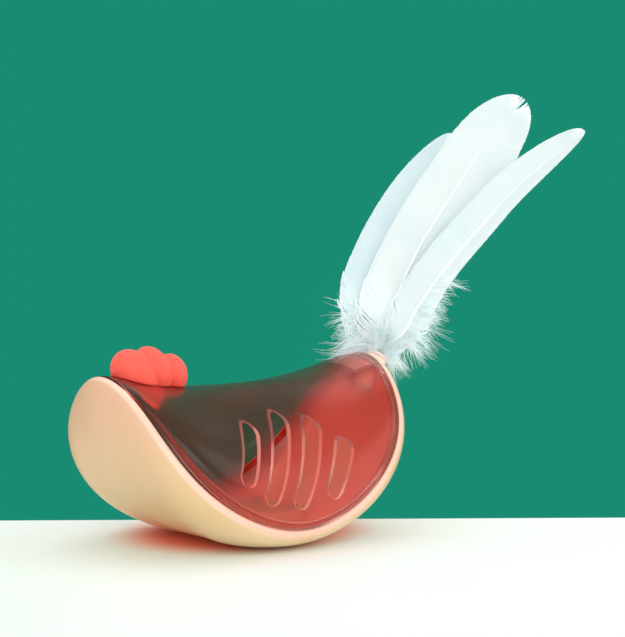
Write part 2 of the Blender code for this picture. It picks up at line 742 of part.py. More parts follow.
def blade(name, path, outer, inner, shaft, fullness, edge, camber, look):
    """A feather: rings along the path that change from a round quill to a thin vane with a
    raised shaft. outer and inner are the vane's half widths, fullness is 0 on the bare quill
    and 1 on the vane."""
    tangent = np.gradient(path, axis=0)
    tangent /= np.linalg.norm(tangent, axis=1, keepdims=True)
    facing = np.array([math.sin(math.radians(fan_facing)), -math.cos(math.radians(fan_facing)), 0.0])
    across = np.cross(tangent, facing)
    across /= np.linalg.norm(across, axis=1, keepdims=True)
    upward = np.cross(across, tangent)
    across_shares = np.array([-1.0, -0.6, -0.0, 0.0, 0.0, 0.6, 1.0])
    shaft_shares = np.array([0.0, 0.0, -0.8, 0.0, 0.8, 0.0, 0.0])
    height_shares = np.array([0.0, 0.0, 0.5, 1.0, 0.5, 0.0, 0.0])
    round_angles = np.radians([172.0, 145.0, 118.0, 90.0, 62.0, 35.0, 8.0])
    rings = []
    for i in range(len(path)):
        half = np.where(across_shares < 0.0, outer[i], inner[i])
        flat_x = across_shares * half + shaft_shares * shaft[i]
        flat_z = edge + height_shares * max(shaft[i] - edge, 0.0)
        bend = -camber * fullness[i] * (flat_x / max(outer[i], inner[i]))**2
        upper_x = fullness[i] * flat_x + (1.0 - fullness[i]) * shaft[i] * np.cos(round_angles)
        upper_z = fullness[i] * flat_z + (1.0 - fullness[i]) * shaft[i] * np.sin(round_angles)
        x = np.concatenate([upper_x, upper_x[::-1]])
        z = np.concatenate([upper_z + bend, (bend - upper_z)[::-1]])
        rings.append(path[i] + x[:, None] * across[i] + z[:, None] * upward[i])
    vertices, faces = skin_rings(rings)
    return make_object(name, vertices, faces, look, mouth)


def quill_start(angle):
    """Where a quill leaves the ferrule's mouth plane, on the circle of the three quills."""
    beside = Vector((socket_way.z, 0.0, -socket_way.x))
    level = Vector((0.0, 1.0, 0.0))
    return mouth + quill_circle * (math.cos(angle) * beside + math.sin(angle) * level)


def feather(name):
    """One feather: a straight stretch in the ferrule, then a bent shaft with its vane."""
    outer_width, inner_width = vane_half_widths[name]
    start = quill_start(math.radians(feather_angles[name]))
    route = [start + socket_way * height for height in
             (-quill_insert, 0.0, ferrule_stand_out, ferrule_stand_out + quill_run_out)]
    route += [mouth + feather_length * Vector(shares) for shares in feather_way_shares[name]]
    path = smooth_path([tuple(p) for p in route], feather_steps)
    length = np.concatenate([[0.0], np.cumsum(np.linalg.norm(np.diff(path, axis=0), axis=1))])
    u = length / length[-1]
    first = (quill_insert + ferrule_stand_out) / length[-1] + vane_start_shares[name]
    v = np.clip((u - first) / (1.0 - first), 0.0, 1.0)
    fullness = np.clip((u - first + vane_blend_share) / vane_blend_share, 0.0, 1.0)
    opening = np.sqrt(1.0 - (1.0 - np.clip(v / vane_opening_share, 0.0, 1.0))**2)
    closing = np.sqrt(np.clip(1.0 - v**tip_powers[name], 0.0, 1.0))
    outer = np.maximum(outer_width * opening * closing, vane_least_half_width + quill_radius)
    inner = np.maximum(inner_width * opening * closing, vane_least_half_width + quill_radius)
    shaft = quill_radius + (quill_tip_radius - quill_radius) * v
    return blade(name, path, outer, inner, shaft, fullness, vane_half_thickness, vane_camber, white)


def down_tuft(name):
    """A plain thin leaf that stands in for a tuft of loose down, rooted on the ferrule."""
    angle = math.radians(down_angles[name])
    beside = Vector((socket_way.z, 0.0, -socket_way.x))
    level = Vector((0.0, 1.0, 0.0))
    out = math.cos(angle) * beside + math.sin(angle) * level
    reach = ferrule_radius + down_gap + down_stem_half_width
    root = mouth + socket_way * (flange_thickness + fit_gap + down_gap + down_stem_half_width) + out * reach
    route = [root] + [mouth + feather_length * Vector(shares) for shares in down_way_shares[name]]
    path = smooth_path([tuple(p) for p in route], down_steps)
    u = np.linspace(0.0, 1.0, down_steps)
    opened = np.clip(u / down_opening_share, 0.0, 1.0)
    opening = opened**2 * (3.0 - 2.0 * opened)
    closing = np.sqrt(np.clip(1.0 - u**down_tip_power, 0.0, 1.0))
    half = np.maximum(down_half_widths[name] * opening * closing, down_stem_half_width)
    shaft = np.full(down_steps, down_half_thickness)
    full = np.ones(down_steps)
    return blade(name, path, half, half, shaft, full, down_half_thickness, 0.0, white)


def tail_pivot(name, pieces):
    """An empty at the socket's mouth, on the tail's axis, that carries the moving pieces."""
    pivot = bpy.data.objects.new(name, None)
    pivot.location = mouth
    bpy.context.scene.collection.objects.link(pivot)
    for piece in pieces:
        piece.parent = pivot
        piece.location = (0.0, 0.0, 0.0)


for old in list(bpy.data.objects):
    bpy.data.objects.remove(old)

floor_form = inner_form("floor_form", base_wall + fit_gap)
neck_space = cylinder("neck_space", socket_root - socket_way * (socket_depth + fit_gap), socket_way,
                      socket_depth + socket_stand_out + overrun, neck_radius + fit_gap)
filling_hole = cylinder("filling_hole", (-comb_offset, 0.0, roof_height(-comb_offset) - stem_length),
                        (0, 0, 1), stem_length + overrun, stem_radius + fit_gap)

base_shell()
cover_shell()
comb_stopper()
counterweight()
ballast_tray()
tray_screws()
feather_socket()
tail_pivot("sleeve_pivot", [feather_sleeve()])
tail_pivot("tail_pivot", [quill_ferrule()] + [feather(name) for name in feather_way_shares]
           + [down_tuft(name) for name in down_way_shares])
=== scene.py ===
import math

import bmesh
import bpy
import numpy as np
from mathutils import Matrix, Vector


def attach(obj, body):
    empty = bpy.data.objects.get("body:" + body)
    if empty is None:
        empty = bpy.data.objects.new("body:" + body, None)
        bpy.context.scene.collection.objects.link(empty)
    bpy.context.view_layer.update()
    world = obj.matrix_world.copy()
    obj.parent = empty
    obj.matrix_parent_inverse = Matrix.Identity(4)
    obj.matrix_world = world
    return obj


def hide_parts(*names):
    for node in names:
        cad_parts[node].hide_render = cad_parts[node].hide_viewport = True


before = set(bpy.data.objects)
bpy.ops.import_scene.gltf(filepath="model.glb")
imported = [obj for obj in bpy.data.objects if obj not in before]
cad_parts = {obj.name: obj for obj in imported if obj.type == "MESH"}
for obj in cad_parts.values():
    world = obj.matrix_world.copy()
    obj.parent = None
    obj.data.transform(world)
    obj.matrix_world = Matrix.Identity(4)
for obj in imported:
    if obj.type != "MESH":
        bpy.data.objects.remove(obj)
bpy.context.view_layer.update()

MM = 0.001

# Casing: the tips of the seam, seen from the middle of the casing, as in the part
seam_half_length = 69.0 * MM
seam_half_width = 48.0 * MM
end_rise = 32.5 * MM
side_drop = 33.0 * MM
keel_depth = 43.0 * MM
roof_rise = 24.3 * MM
middle_height = 42.5 * MM
seam_lift = 4.0 * MM

# Casing: reach and angle of the curve handles along each profile
keel_reach_long = 64.0 * MM
keel_reach_cross = 40.0 * MM
end_handle = 17.0 * MM
side_handle = 8.0 * MM
roof_reach_long = 52.0 * MM
roof_reach_cross = 22.0 * MM
roof_end_handle = 8.0 * MM
roof_side_handle = 25.0 * MM
end_angle = 180.0
side_angle = 70.0
roof_end_angle = 176.0
roof_side_angle = 48.0

# Casing: how the shells swell between the four tips of the seam
swell_length_share = 0.16
swell_width_share = 0.14
skew_length_share = -0.11
skew_width_share = 0.06

# Shell walls, rounded edges, the lip, and how far from the seam the rings follow it evenly
base_wall = 2.2 * MM
cover_wall = 1.8 * MM
half_gap = 0.2 * MM
rim_round = 1.1 * MM
cover_round = 0.5 * MM
lip_depth = 2.5 * MM
lip_wall = 1.2 * MM
lip_length = 3.0 * MM
lip_run_out = 5.0 * MM
step_middle = 1.4 * MM
rim_band = 7.5 * MM
roof_band = 5.0 * MM
around = 288

# Slots in the cover's near side
slot_count = 4
slot_radius = 3.7 * MM
slot_spacing = 14.2 * MM
slot_row_fall = 3.0 * MM
slot_row_offset = 2.1 * MM
slot_height = 38.2 * MM
slot_long = 41.0 * MM
slot_short = 27.5 * MM
slot_slant = math.radians(35.0)
slot_outer_reach = 80.0 * MM
slot_inner_reach = 12.0 * MM

# Comb: the line in its middle from which its skin is worked out, how sharp the creases are,
# and each lobe's middle x, height over the seat, half length, half width, half height, in
# millimetres, and its lean
comb_middle = -45.5 * MM
comb_line_start = -65.4 * MM
comb_line_end = -28.2 * MM
comb_line_rise = 7.2 * MM
comb_line_fall = 3.0 * MM
comb_over_roof = 0.3 * MM
crease_power = 26.0
comb_lobes = ((-53.7, 4.2, 9.9, 9.2, 11.2, 0.27),
              (-44.7, 5.8, 7.9, 8.8, 10.2, 0.22),
              (-34.9, 3.8, 6.7, 7.2, 8.3, 0.12))

# The comb's stem and the hole in the roof that it goes through
stem_radius = 5.0 * MM
bore_radius = 3.6 * MM
stem_length = 7.0 * MM
stem_chamfer = 0.3 * MM
stem_in_lobe = 3.0 * MM
hole_radius = 5.3 * MM
hole_low = 50.0 * MM
hole_length = 30.0 * MM

# The tail's axis, and the rooms for the socket's neck and wedge. A wedge room's distances run
# from the seam, and its depths from the outer face.
tail_lean = math.radians(35.0)
tail_way = np.array([math.sin(tail_lean), 0.0, math.cos(tail_lean)])
tail_beside = np.array([math.cos(tail_lean), 0.0, -math.sin(tail_lean)])
mouth = np.array([75.8732, 0.0, 72.2776]) * MM
neck_room_start = 15.3 * MM
neck_room_length = 18.3 * MM
neck_room_radius = 5.1 * MM
wedge_room_distances = (-4.6 * MM, 7.3 * MM)
wedge_room_depths = (2.1 * MM, 4.9 * MM)
wedge_room_half_turn = 0.373

# Feathers: the circle of the three quills, their first stations along the tail's axis from the
# mouth, and the vanes
feather_length = 140.0 * MM
quill_circle = 1.155 * MM
quill_radius = 0.85 * MM
quill_tip_radius = 0.2 * MM
quill_stations = (-10.0 * MM, 0.0, 3.5 * MM, 6.0 * MM)
vane_start = 14.0 * MM
vane_camber = 1.5 * MM
fan_facing = math.radians(-36.0)
barb_count = 250
barb_slant = 0.11
barb_lift = 0.09 * MM
barb_half_thickness = 0.05 * MM

# Down: strands stand in clumps, and all strands have as many stations as a barb
clump_size = 8
first_tuft_seed = 41
down_half_width = 0.1 * MM
down_half_thickness = 0.04 * MM
strand_stations = 9

# The camera: the photograph's angles, its distance, and how many pixels the aim lies right of
# the casing's middle and above it, for a picture that is this many pixels away
view_turn = math.radians(-36.13)
view_rise = math.radians(8.51)
view_distance = 1.214
pixels_away = 2822.0
pixels_right = 74.5
pixels_up = 120.4

# The table: how far it goes behind the part, to the sides and to the front, and its thickness
table_behind = 0.042
table_half_width = 1.3
table_front = 1.6
table_thickness = 0.03


# Materials


class Signal:
    """One output of a material's node, with Math nodes behind its operators."""

    def __init__(self, finish, socket):
        self.finish = finish
        self.socket = socket

    def math(self, operation, *values):
        """A Math node that works on this signal and the values."""
        inputs = dict(enumerate((self, *values)))
        return self.finish.node("ShaderNodeMath", {"operation": operation}, inputs)

    def __add__(self, other):
        return self.math("ADD", other)

    def __sub__(self, other):
        return self.math("SUBTRACT", other)

    def __mul__(self, other):
        return self.math("MULTIPLY", other)

    def __rsub__(self, other):
        return self.finish.node("ShaderNodeMath", {"operation": "SUBTRACT"}, {0: other, 1: self})

    __radd__ = __add__
    __rmul__ = __mul__

    def most(self, other):
        """The greater of the two."""
        return self.math("MAXIMUM", other)

    def size(self):
        """The number without its sign."""
        return self.math("ABSOLUTE")

    def part_way(self, low, high):
        """0 below low, 1 above high, and a smooth step between them."""
        return self.finish.node("ShaderNodeMapRange", {"interpolation_type": "SMOOTHSTEP"},
                                {"Value": self, "From Min": low, "From Max": high})


class Finish:
    """A material in the making. node() adds any node, and end() ends with the surface."""

    def __init__(self, name, color):
        self.material = bpy.data.materials.new(name)
        self.material.use_nodes = True
        self.material.diffuse_color = (*color, 1.0)
        self.tree = self.material.node_tree
        self.tree.nodes.clear()

    def feed(self, socket, value):
        """Links a signal to a socket, or sets the socket to a number, a color or a vector."""
        if isinstance(value, Signal):
            self.tree.links.new(value.socket, socket)
        elif isinstance(value, tuple) and len(value) == 3 and len(socket.default_value) == 4:
            socket.default_value = (*value, 1.0)
        else:
            socket.default_value = value

    def node(self, kind, settings=None, inputs=None, output=0):
        """A node of any kind: its settings first, then the values or links of its sockets."""
        made = self.tree.nodes.new(kind)
        for name, value in (settings or {}).items():
            setattr(made, name, value)
        for name, value in (inputs or {}).items():
            self.feed(made.inputs[name], value)
        return Signal(self, made.outputs[output])

    def place(self):
        """Object coordinates, in metres."""
        return self.node("ShaderNodeTexCoord", output="Object")

    def place_along(self, axis):
        """One of the object coordinates, X, Y or Z."""
        return self.node("ShaderNodeSeparateXYZ", {}, {0: self.place()}, output=axis)

    def attribute(self, name):
        """A number that the mesh carries."""
        return self.node("ShaderNodeAttribute", {"attribute_name": name}, output="Fac")

    def noise(self, scale, detail, roughness=0.55):
        inputs = {"Vector": self.place(), "Scale": scale, "Detail": detail, "Roughness": roughness}
        return self.node("ShaderNodeTexNoise", {}, inputs)

    def lines(self, scales, detail, rotation=(0.0, 0.0, 0.0)):
        """Noise with a scale for each axis, turned by rotation."""
        inputs = {"Vector": self.place(), "Rotation": rotation, "Scale": scales}
        spot = self.node("ShaderNodeMapping", {}, inputs)
        return self.node("ShaderNodeTexNoise", {}, {"Vector": spot, "Scale": 1.0, "Detail": detail})

    def blend(self, share, first, second):
        """The color first where share is 0 and the color second where it is 1."""
        return self.node("ShaderNodeMix", {"data_type": "RGBA"}, {0: share, 6: first, 7: second}, output=2)

    def bump(self, height, strength, distance, under=None):
        """The normal over a height, on top of another bump where under is given."""
        inputs = {"Height": height, "Strength": strength, "Distance": distance}
        if under is not None:
            inputs["Normal"] = under
        return self.node("ShaderNodeBump", {}, inputs)

    def principled(self, **inputs):
        """The Principled shader. An underscore stands for the space in a socket's name."""
        named = {name.replace("_", " "): value for name, value in inputs.items()}
        return self.node("ShaderNodeBsdfPrincipled", {}, named)

    def end(self, shader=None, **inputs):
        """Ends the material with a shader, or with the Principled one and its inputs."""
        shader = shader or self.principled(**inputs)
        output = self.tree.nodes.new("ShaderNodeOutputMaterial")
        self.tree.links.new(shader.socket, output.inputs["Surface"])
        return self.material


def moulded_cream(name, banded, tone=(0.71, 0.44, 0.26)):
    """Satin cream plastic with the faint mottle and fine grain of a moulding, and painted bounce light
    from the table: yellower low down and paler next to it. A banded one also has a painted highlight
    along its rim, painted shade under the rim on its inside, and painted red light, as through the
    cover, deeper inside."""
    painted_table_bounce = (0.85, 0.66, 0.40)
    painted_bounce_low_side, high_side = (0.69, 0.50, 0.245), (0.725, 0.415, 0.27)
    painted_rim_highlight = (0.89, 0.57, 0.44)
    painted_shade_under_rim, painted_red_light_inside = (0.34, 0.11, 0.08), (1.0, 0.38, 0.30)
    look = Finish(name, (0.72, 0.47, 0.29))
    mottle = look.noise(scale=38.0, detail=5.0)
    grain = look.noise(scale=2600.0, detail=2.0)
    # painted bounce light: by height, the sides turn yellower low down and paler next to the table
    height = look.place_along("Z")
    face = look.blend(height.part_way(0.01, 0.07), painted_bounce_low_side, high_side)
    face = look.blend(height.part_way(0.0, 0.022), painted_table_bounce, face)
    toned = mottle.part_way(0.35, 0.8) * 0.5 if banded else mottle.part_way(0.0, 0.4)
    face = look.blend(toned, face, tone)
    roughness = mottle * 0.12 + 0.34
    if banded:
        # painted highlight: the rim number lays a paler, pinker band along the rounded rim
        rim = look.attribute("rim")
        face = look.blend(rim, face, painted_rim_highlight)
        # painted shade just under the rim on the inner face, fading with depth into painted red light, as
        # through the cover
        inner = look.blend(look.attribute("deep"), painted_shade_under_rim, painted_red_light_inside)
        face = look.blend(look.attribute("inside"), face, inner)
        roughness = roughness - rim * 0.06
    dents = look.bump(mottle, strength=0.08, distance=0.0004)
    normal = look.bump(grain, strength=0.12, distance=0.00006, under=dents)
    return look.end(Base_Color=face, Roughness=roughness, Normal=normal, IOR=1.5,
                    Coat_Weight=0.12, Coat_Roughness=0.25, Subsurface_Weight=0.1,
                    Subsurface_Radius=(0.003, 0.0018, 0.001), Subsurface_Scale=1.0)


def clear_red(name):
    """See-through red plastic, with painted shade that deepens it on the far side. A dark painted
    shadow line, with soft painted shade beyond it, runs round the region past wedge_start along x
    and within wedge_half_width to either side, standing for the edge of the socket's wedge. Cut edges
    glow faintly with painted light, and lamps see it all as a red filter, so that the inside is lit."""
    near_side = (0.99, 0.46, 0.43), (1.0, 0.51, 0.48)
    painted_shade_far_side = (0.97, 0.21, 0.17), (0.99, 0.25, 0.21)
    painted_wedge_shade, painted_shadow_line = (0.72, 0.13, 0.11), (0.50, 0.05, 0.04)
    wedge_start, wedge_half_width = 0.0523, 0.0143
    dark, painted_edge_glow = (0.0, 0.0, 0.0), (0.22, 0.06, 0.052)
    light_filter = (0.99, 0.73, 0.70)
    look = Finish(name, (0.75, 0.06, 0.05))
    flow = look.noise(scale=16.0, detail=2.0)
    fine = look.noise(scale=320.0, detail=3.0)
    x, y = look.place_along("X"), look.place_along("Y")
    # painted shade: the far side's red is deeper than the near side's
    tint = look.blend(y.part_way(-0.015, 0.015), look.blend(flow, *near_side), look.blend(flow, *painted_shade_far_side))
    # painted shadow: a dark line round the region past wedge_start and within wedge_half_width, with soft
    # painted shade just outside it
    past = (wedge_start - x).most(y.size() - wedge_half_width)
    shade = past.part_way(-0.0004, 0.0) * (1.0 - past.part_way(0.002, 0.009))
    tint = look.blend(shade * 0.75, tint, painted_wedge_shade)
    tint = look.blend(past.size().part_way(0.0002, 0.0006), painted_shadow_line, tint)
    # painted light: cut faces glow faintly through emission, standing for light piped through the plastic
    glow = look.blend(look.attribute("cut"), dark, painted_edge_glow)
    plastic = look.principled(
        Base_Color=tint, Roughness=fine * 0.05 + 0.18, Normal=look.bump(flow, strength=0.05, distance=0.0006),
        IOR=1.3, Transmission_Weight=0.99, Emission_Color=glow, Emission_Strength=1.0)
    clear = look.node("ShaderNodeBsdfTransparent", {}, {"Color": light_filter})
    shadow = look.node("ShaderNodeLightPath", output="Is Shadow Ray")
    return look.end(look.node("ShaderNodeMixShader", {}, {0: shadow, 1: plastic, 2: clear}))


def soft_coral(name):
    """Matte coral silicone with a dusting of fine pores."""
    look = Finish(name, (0.89, 0.09, 0.06))
    mottle = look.noise(scale=90.0, detail=4.0)
    pores = look.noise(scale=1500.0, detail=3.0)
    color = look.blend(mottle, (0.87, 0.082, 0.048), (0.93, 0.105, 0.068))
    dents = look.bump(mottle, strength=0.1, distance=0.0005)
    normal = look.bump(pores, strength=0.22, distance=0.00008, under=dents)
    return look.end(Base_Color=color, Roughness=mottle * 0.14 + 0.5, Normal=normal,
                    Sheen_Weight=0.12, Sheen_Roughness=0.5, Subsurface_Weight=0.15,
                    Subsurface_Radius=(0.004, 0.001, 0.0006), Subsurface_Scale=1.0)


def blush_rubber(name):
    """The sleeve's pale pink silicone, a little cloudy."""
    look = Finish(name, (0.9, 0.62, 0.55))
    cloud = look.noise(scale=140.0, detail=4.0)
    grain = look.noise(scale=1900.0, detail=2.0)
    color = look.blend(cloud, (0.90, 0.60, 0.53), (0.96, 0.72, 0.65))
    normal = look.bump(grain, strength=0.18, distance=0.00006)
    return look.end(Base_Color=color, Roughness=cloud * 0.15 + 0.42, Normal=normal, Subsurface_Weight=0.15,
                    Subsurface_Radius=(0.003, 0.0015, 0.001), Subsurface_Scale=1.0)


def cast_iron(name):
    """Dark cast iron with a sandy skin and a few rusty spots."""
    look = Finish(name, (0.08, 0.08, 0.085))
    sand = look.noise(scale=900.0, detail=6.0, roughness=0.7)
    rust = look.noise(scale=120.0, detail=5.0, roughness=0.6).part_way(0.58, 0.72)
    color = look.blend(rust, (0.075, 0.076, 0.082), (0.19, 0.075, 0.03))
    normal = look.bump(sand, strength=0.5, distance=0.0002)
    return look.end(Base_Color=color, Metallic=1.0 - rust * 0.9, Roughness=sand * 0.3 + 0.45, Normal=normal)


def plated_steel(name):
    """Zinc plate on steel: bluish, finely brushed, dulled in patches."""
    look = Finish(name, (0.6, 0.6, 0.62))
    patch = look.noise(scale=700.0, detail=3.0)
    brushed = look.lines((600.0, 600.0, 9000.0), detail=2.0)
    color = look.blend(patch, (0.55, 0.56, 0.60), (0.68, 0.68, 0.67))
    normal = look.bump(brushed, strength=0.15, distance=0.00003)
    return look.end(Base_Color=color, Metallic=1.0, Roughness=patch * 0.2 + 0.22, Normal=normal)


def drawn_aluminium(name):
    """A drawn tube's skin: pale metal with fine lines along the tail's axis."""
    look = Finish(name, (0.75, 0.76, 0.78))
    drawn = look.lines((5000.0, 5000.0, 120.0), detail=3.0, rotation=(0.0, -tail_lean, 0.0))
    dull = look.noise(scale=500.0, detail=3.0)
    color = look.blend(drawn, (0.70, 0.71, 0.73), (0.82, 0.83, 0.84))
    normal = look.bump(drawn, strength=0.2, distance=0.00003)
    return look.end(Base_Color=color, Metallic=1.0, Roughness=dull * 0.18 + 0.24, Normal=normal)


def feather_white(name):
    """White feather with a cold cast, streaked from barb to barb, and a fine grain. along runs
    from a barb's root to its tip, streak is its own number, and warm is the feather's tone."""
    cold_white, warm_white = (0.76, 0.96, 0.99), (0.95, 0.985, 0.985)
    pale_streak, blue_cloud, gray_tip = (0.94, 0.98, 0.985), (0.72, 0.90, 0.95), (0.74, 0.86, 0.90)
    look = Finish(name, (0.93, 0.97, 1.0))
    cloud = look.noise(scale=45.0, detail=4.0)
    grain = look.noise(scale=2400.0, detail=2.0)
    color = look.blend(look.attribute("warm"), cold_white, warm_white)
    color = look.blend(look.attribute("streak") * 0.32, color, pale_streak)
    color = look.blend(cloud.part_way(0.45, 0.75) * 0.4, color, blue_cloud)
    color = look.blend(look.attribute("along").part_way(0.93, 1.0) * 0.3, color, gray_tip)
    normal = look.bump(grain, strength=0.15, distance=0.00005)
    return look.end(Base_Color=color, Roughness=cloud * 0.15 + 0.62, Normal=normal,
                    Sheen_Weight=0.15, Subsurface_Weight=0.3,
                    Subsurface_Radius=(0.002, 0.002, 0.002), Subsurface_Scale=1.0)


def pale_table(name):
    """A plain, nearly white table top with the faintest mottle, a little duller to the left by
    painted shade, and painted red light, as of light let through the cover, on it. That painted
    light fades with the length of the moved and scaled coordinates, so it is an oval spot round the
    toy's foot."""
    painted_shade_left, painted_red_glow = (0.76, 0.85, 0.775), (0.95, 0.22, 0.12)
    look = Finish(name, (0.83, 0.83, 0.82))
    cloud = look.noise(scale=9.0, detail=4.0)
    fine = look.noise(scale=140.0, detail=3.0)
    color = look.blend(cloud, (0.875, 0.92, 0.875), (0.90, 0.935, 0.895))
    # painted shade: the table top dulls toward the left
    color = look.blend(look.place_along("X").part_way(-0.35, 0.1), painted_shade_left, color)
    # painted red light: an oval glow round the toy's foot, as of light through the cover
    oval = {"Vector": look.place(), "Location": (-0.15, -0.2, 0.0), "Scale": (18.0, 22.0, 400.0)}
    spot = look.node("ShaderNodeMapping", {}, oval)
    reach = look.node("ShaderNodeVectorMath", {"operation": "LENGTH"}, {0: spot}, output="Value")
    color = look.blend((1.0 - reach.part_way(0.62, 1.2)) * 0.97, color, painted_red_glow)
    normal = look.bump(fine, strength=0.08, distance=0.0004)
    return look.end(Base_Color=color, Roughness=fine * 0.1 + 0.5, Normal=normal)


# Meshes


def make_piece(name, vertices, faces, finish, attributes=None, smooth_angle=40.0):
    """An object at the origin with its place in its mesh. attributes are a number for each
    vertex, and edges sharper than smooth_angle stay sharp, or none where it is 0."""
    mesh = bpy.data.meshes.new(name)
    vertices = np.asarray(vertices, float)
    mesh.from_pydata([tuple(v) for v in vertices.tolist()], [], faces)
    for label, values in (attributes or {}).items():
        data = mesh.attributes.new(label, "FLOAT", "POINT").data
        data.foreach_set("value", np.asarray(values, np.float32))
    mesh.shade_smooth()
    if smooth_angle:
        mesh.set_sharp_from_angle(angle=math.radians(smooth_angle))
    piece = bpy.data.objects.new(name, mesh)
    bpy.context.scene.collection.objects.link(piece)
    if finish is not None:
        mesh.materials.append(finish)
    return piece


def ring_faces(count, rings):
    """Quads between neighbouring closed rings of count vertices each, rings in order."""
    i = np.arange(count)
    j = (i + 1) % count
    first = (np.arange(rings - 1) * count)[:, None]
    quads = np.stack([first + i, first + j, first + count + j, first + count + i], -1)
    return quads.reshape(-1, 4).tolist()


def skin(rings, start=None, end=None):
    """Vertices and faces of a skin over closed rings, shape (rings, around, 3), with a pole at
    each end; the faces are turned outward by the sign of the volume that they enclose."""
    rings = np.asarray(rings, float)
    number, count = rings.shape[:2]
    start = rings[0].mean(0) if start is None else np.asarray(start, float)
    end = rings[-1].mean(0) if end is None else np.asarray(end, float)
    vertices = np.concatenate([rings.reshape(-1, 3), [start, end]])
    faces = ring_faces(count, number)
    i = np.arange(count)
    j = (i + 1) % count
    first, last = number * count, (number - 1) * count
    faces += np.stack([np.full(count, first), j, i], -1).tolist()
    faces += np.stack([np.full(count, first + 1), last + i, last + j], -1).tolist()
    return vertices, turned_out(vertices, faces)


def turned_out(vertices, faces):
    """The faces, turned over where they point inward. The sum over their triangles of corner a
    times the cross product of b and c is six times the volume, and it is below 0 then."""
    fans = np.array([(f[0], f[k], f[k + 1]) for f in faces for k in range(1, len(f) - 1)])
    a, b, c = (vertices[fans[:, k]] for k in range(3))
    if np.einsum("ij,ij->i", a, np.cross(b, c)).sum() < 0.0:
        return [f[::-1] for f in faces]
    return faces


def mark_cut(piece, value):
    """Gives every face of a piece its cut number, which a cut carries over to its new faces."""
    marks = piece.data.attributes.new("cut", "FLOAT", "FACE").data
    marks.foreach_set("value", np.full(len(marks), value, np.float32))
    return piece


def apply_cuts(piece, cutters):
    """Takes the cutters out of the piece for good, and removes them."""
    for cutter in cutters:
        step = piece.modifiers.new("cut", "BOOLEAN")
        step.operation = "DIFFERENCE"
        step.solver = "EXACT"
        step.object = cutter
    bpy.context.view_layer.update()
    depsgraph = bpy.context.evaluated_depsgraph_get()
    mesh = bpy.data.meshes.new_from_object(piece.evaluated_get(depsgraph))
    piece.modifiers.clear()
    piece.data = mesh
    mesh.shade_smooth()
    mesh.set_sharp_from_angle(angle=math.radians(40.0))
    for cutter in cutters:
        bpy.data.objects.remove(cutter)
    return piece


def bar(start, way, length, radius):
    """A round bar: two rings about a straight axis."""
    way = np.asarray(way, float)
    side = np.cross(way, [0.0, 1.0, 0.0] if abs(way[1]) < 0.9 else [1.0, 0.0, 0.0])
    side /= np.linalg.norm(side)
    other = np.cross(way, side)
    angle = np.linspace(0.0, 2.0 * math.pi, 48, endpoint=False)[:, None]
    circle = radius * (np.cos(angle) * side + np.sin(angle) * other)
    start = np.asarray(start, float)
    return skin([start + circle, start + way * length + circle])


# The casing's face


def bezier(points, u):
    """A cubic curve: the points weighted by the four Bernstein polynomials of u."""
    p = np.asarray(points)
    u = np.asarray(u)[..., None]
    v = 1.0 - u
    return v**3 * p[0] + 3.0 * v**2 * u * p[1] + 3.0 * v * u**2 * p[2] + u**3 * p[3]


def toward(angle):
    """The unit vector at an angle in degrees from a profile's outward axis."""
    return np.array([math.cos(math.radians(angle)), math.sin(math.radians(angle))])


# The four control points of each quarter of the two profiles, from the keel to the seam's tip
# and from the tip to the roof's middle
end_tip = np.array([seam_half_length, end_rise])
side_tip = np.array([seam_half_width, -side_drop])
long_keel = [(0.0, -keel_depth), (keel_reach_long, -keel_depth),
             end_tip - end_handle * toward(end_angle), end_tip]
long_roof = [end_tip, end_tip + roof_end_handle * toward(roof_end_angle),
             (roof_reach_long, roof_rise), (0.0, roof_rise)]
cross_keel = [(0.0, -keel_depth), (keel_reach_cross, -keel_depth),
              side_tip - side_handle * toward(side_angle), side_tip]
cross_roof = [side_tip, side_tip + roof_side_handle * toward(roof_side_angle),
              (roof_reach_cross, roof_rise), (0.0, roof_rise)]


def face_point(s, t):
    """The casing's outer face. s is 0 at the keel, 1 on the seam and 2 at the roof's middle,
    t goes once round. x and y are the long and cross profile's reach times cos t and sin t,
    z mixes the two profiles' heights by cos t squared and sin t squared, and a swelling of
    sin 2t squared lifts the quarters between the four tips. The lift fades with the fourth
    power of the way up the roof, so that the roof's middle is smooth."""
    s, t = np.broadcast_arrays(np.asarray(s, float), np.asarray(t, float))
    upper = (s > 1.0)[..., None]
    low, high = np.minimum(s, 1.0), np.maximum(s - 1.0, 0.0)
    long = np.where(upper, bezier(long_roof, high), bezier(long_keel, low))
    cross = np.where(upper, bezier(cross_roof, high), bezier(cross_keel, low))
    swell = np.sin(2.0 * t)**2 * np.sin(0.5 * math.pi * s)
    skew = swell * np.cos(2.0 * t)
    x = long[..., 0] * np.cos(t) * (1.0 + swell_length_share * swell + skew_length_share * skew)
    y = cross[..., 0] * np.sin(t) * (1.0 + swell_width_share * swell + skew_width_share * skew)
    z = long[..., 1] * np.cos(t)**2 + cross[..., 1] * np.sin(t)**2 + seam_lift * skew * (1.0 - high**4)
    return np.stack([x, y, z + middle_height], -1)


def under_face(s, t, depth):
    """The point at a depth under the face: the face less depth times its unit normal, which
    is the cross product of the slopes round and along."""
    step = 0.004
    along = face_point(s + step, t) - face_point(s - step, t)
    around_way = face_point(s, t + step) - face_point(s, t - step)
    normal = np.cross(around_way, along)
    normal /= np.linalg.norm(normal, axis=-1, keepdims=True)
    return face_point(s, t) - depth * normal


turn = np.linspace(0.0, 2.0 * math.pi, around, endpoint=False)


def from_seam(distance, t=turn):
    """The value of s at a distance from the seam, measured on the face: 1 and the distance
    divided by how fast the face goes by there with s."""
    step = math.copysign(0.01, distance)
    speed = np.linalg.norm(face_point(1.0 + step, t) - face_point(1.0, t), axis=-1) / abs(step)
    return 1.0 + distance / speed


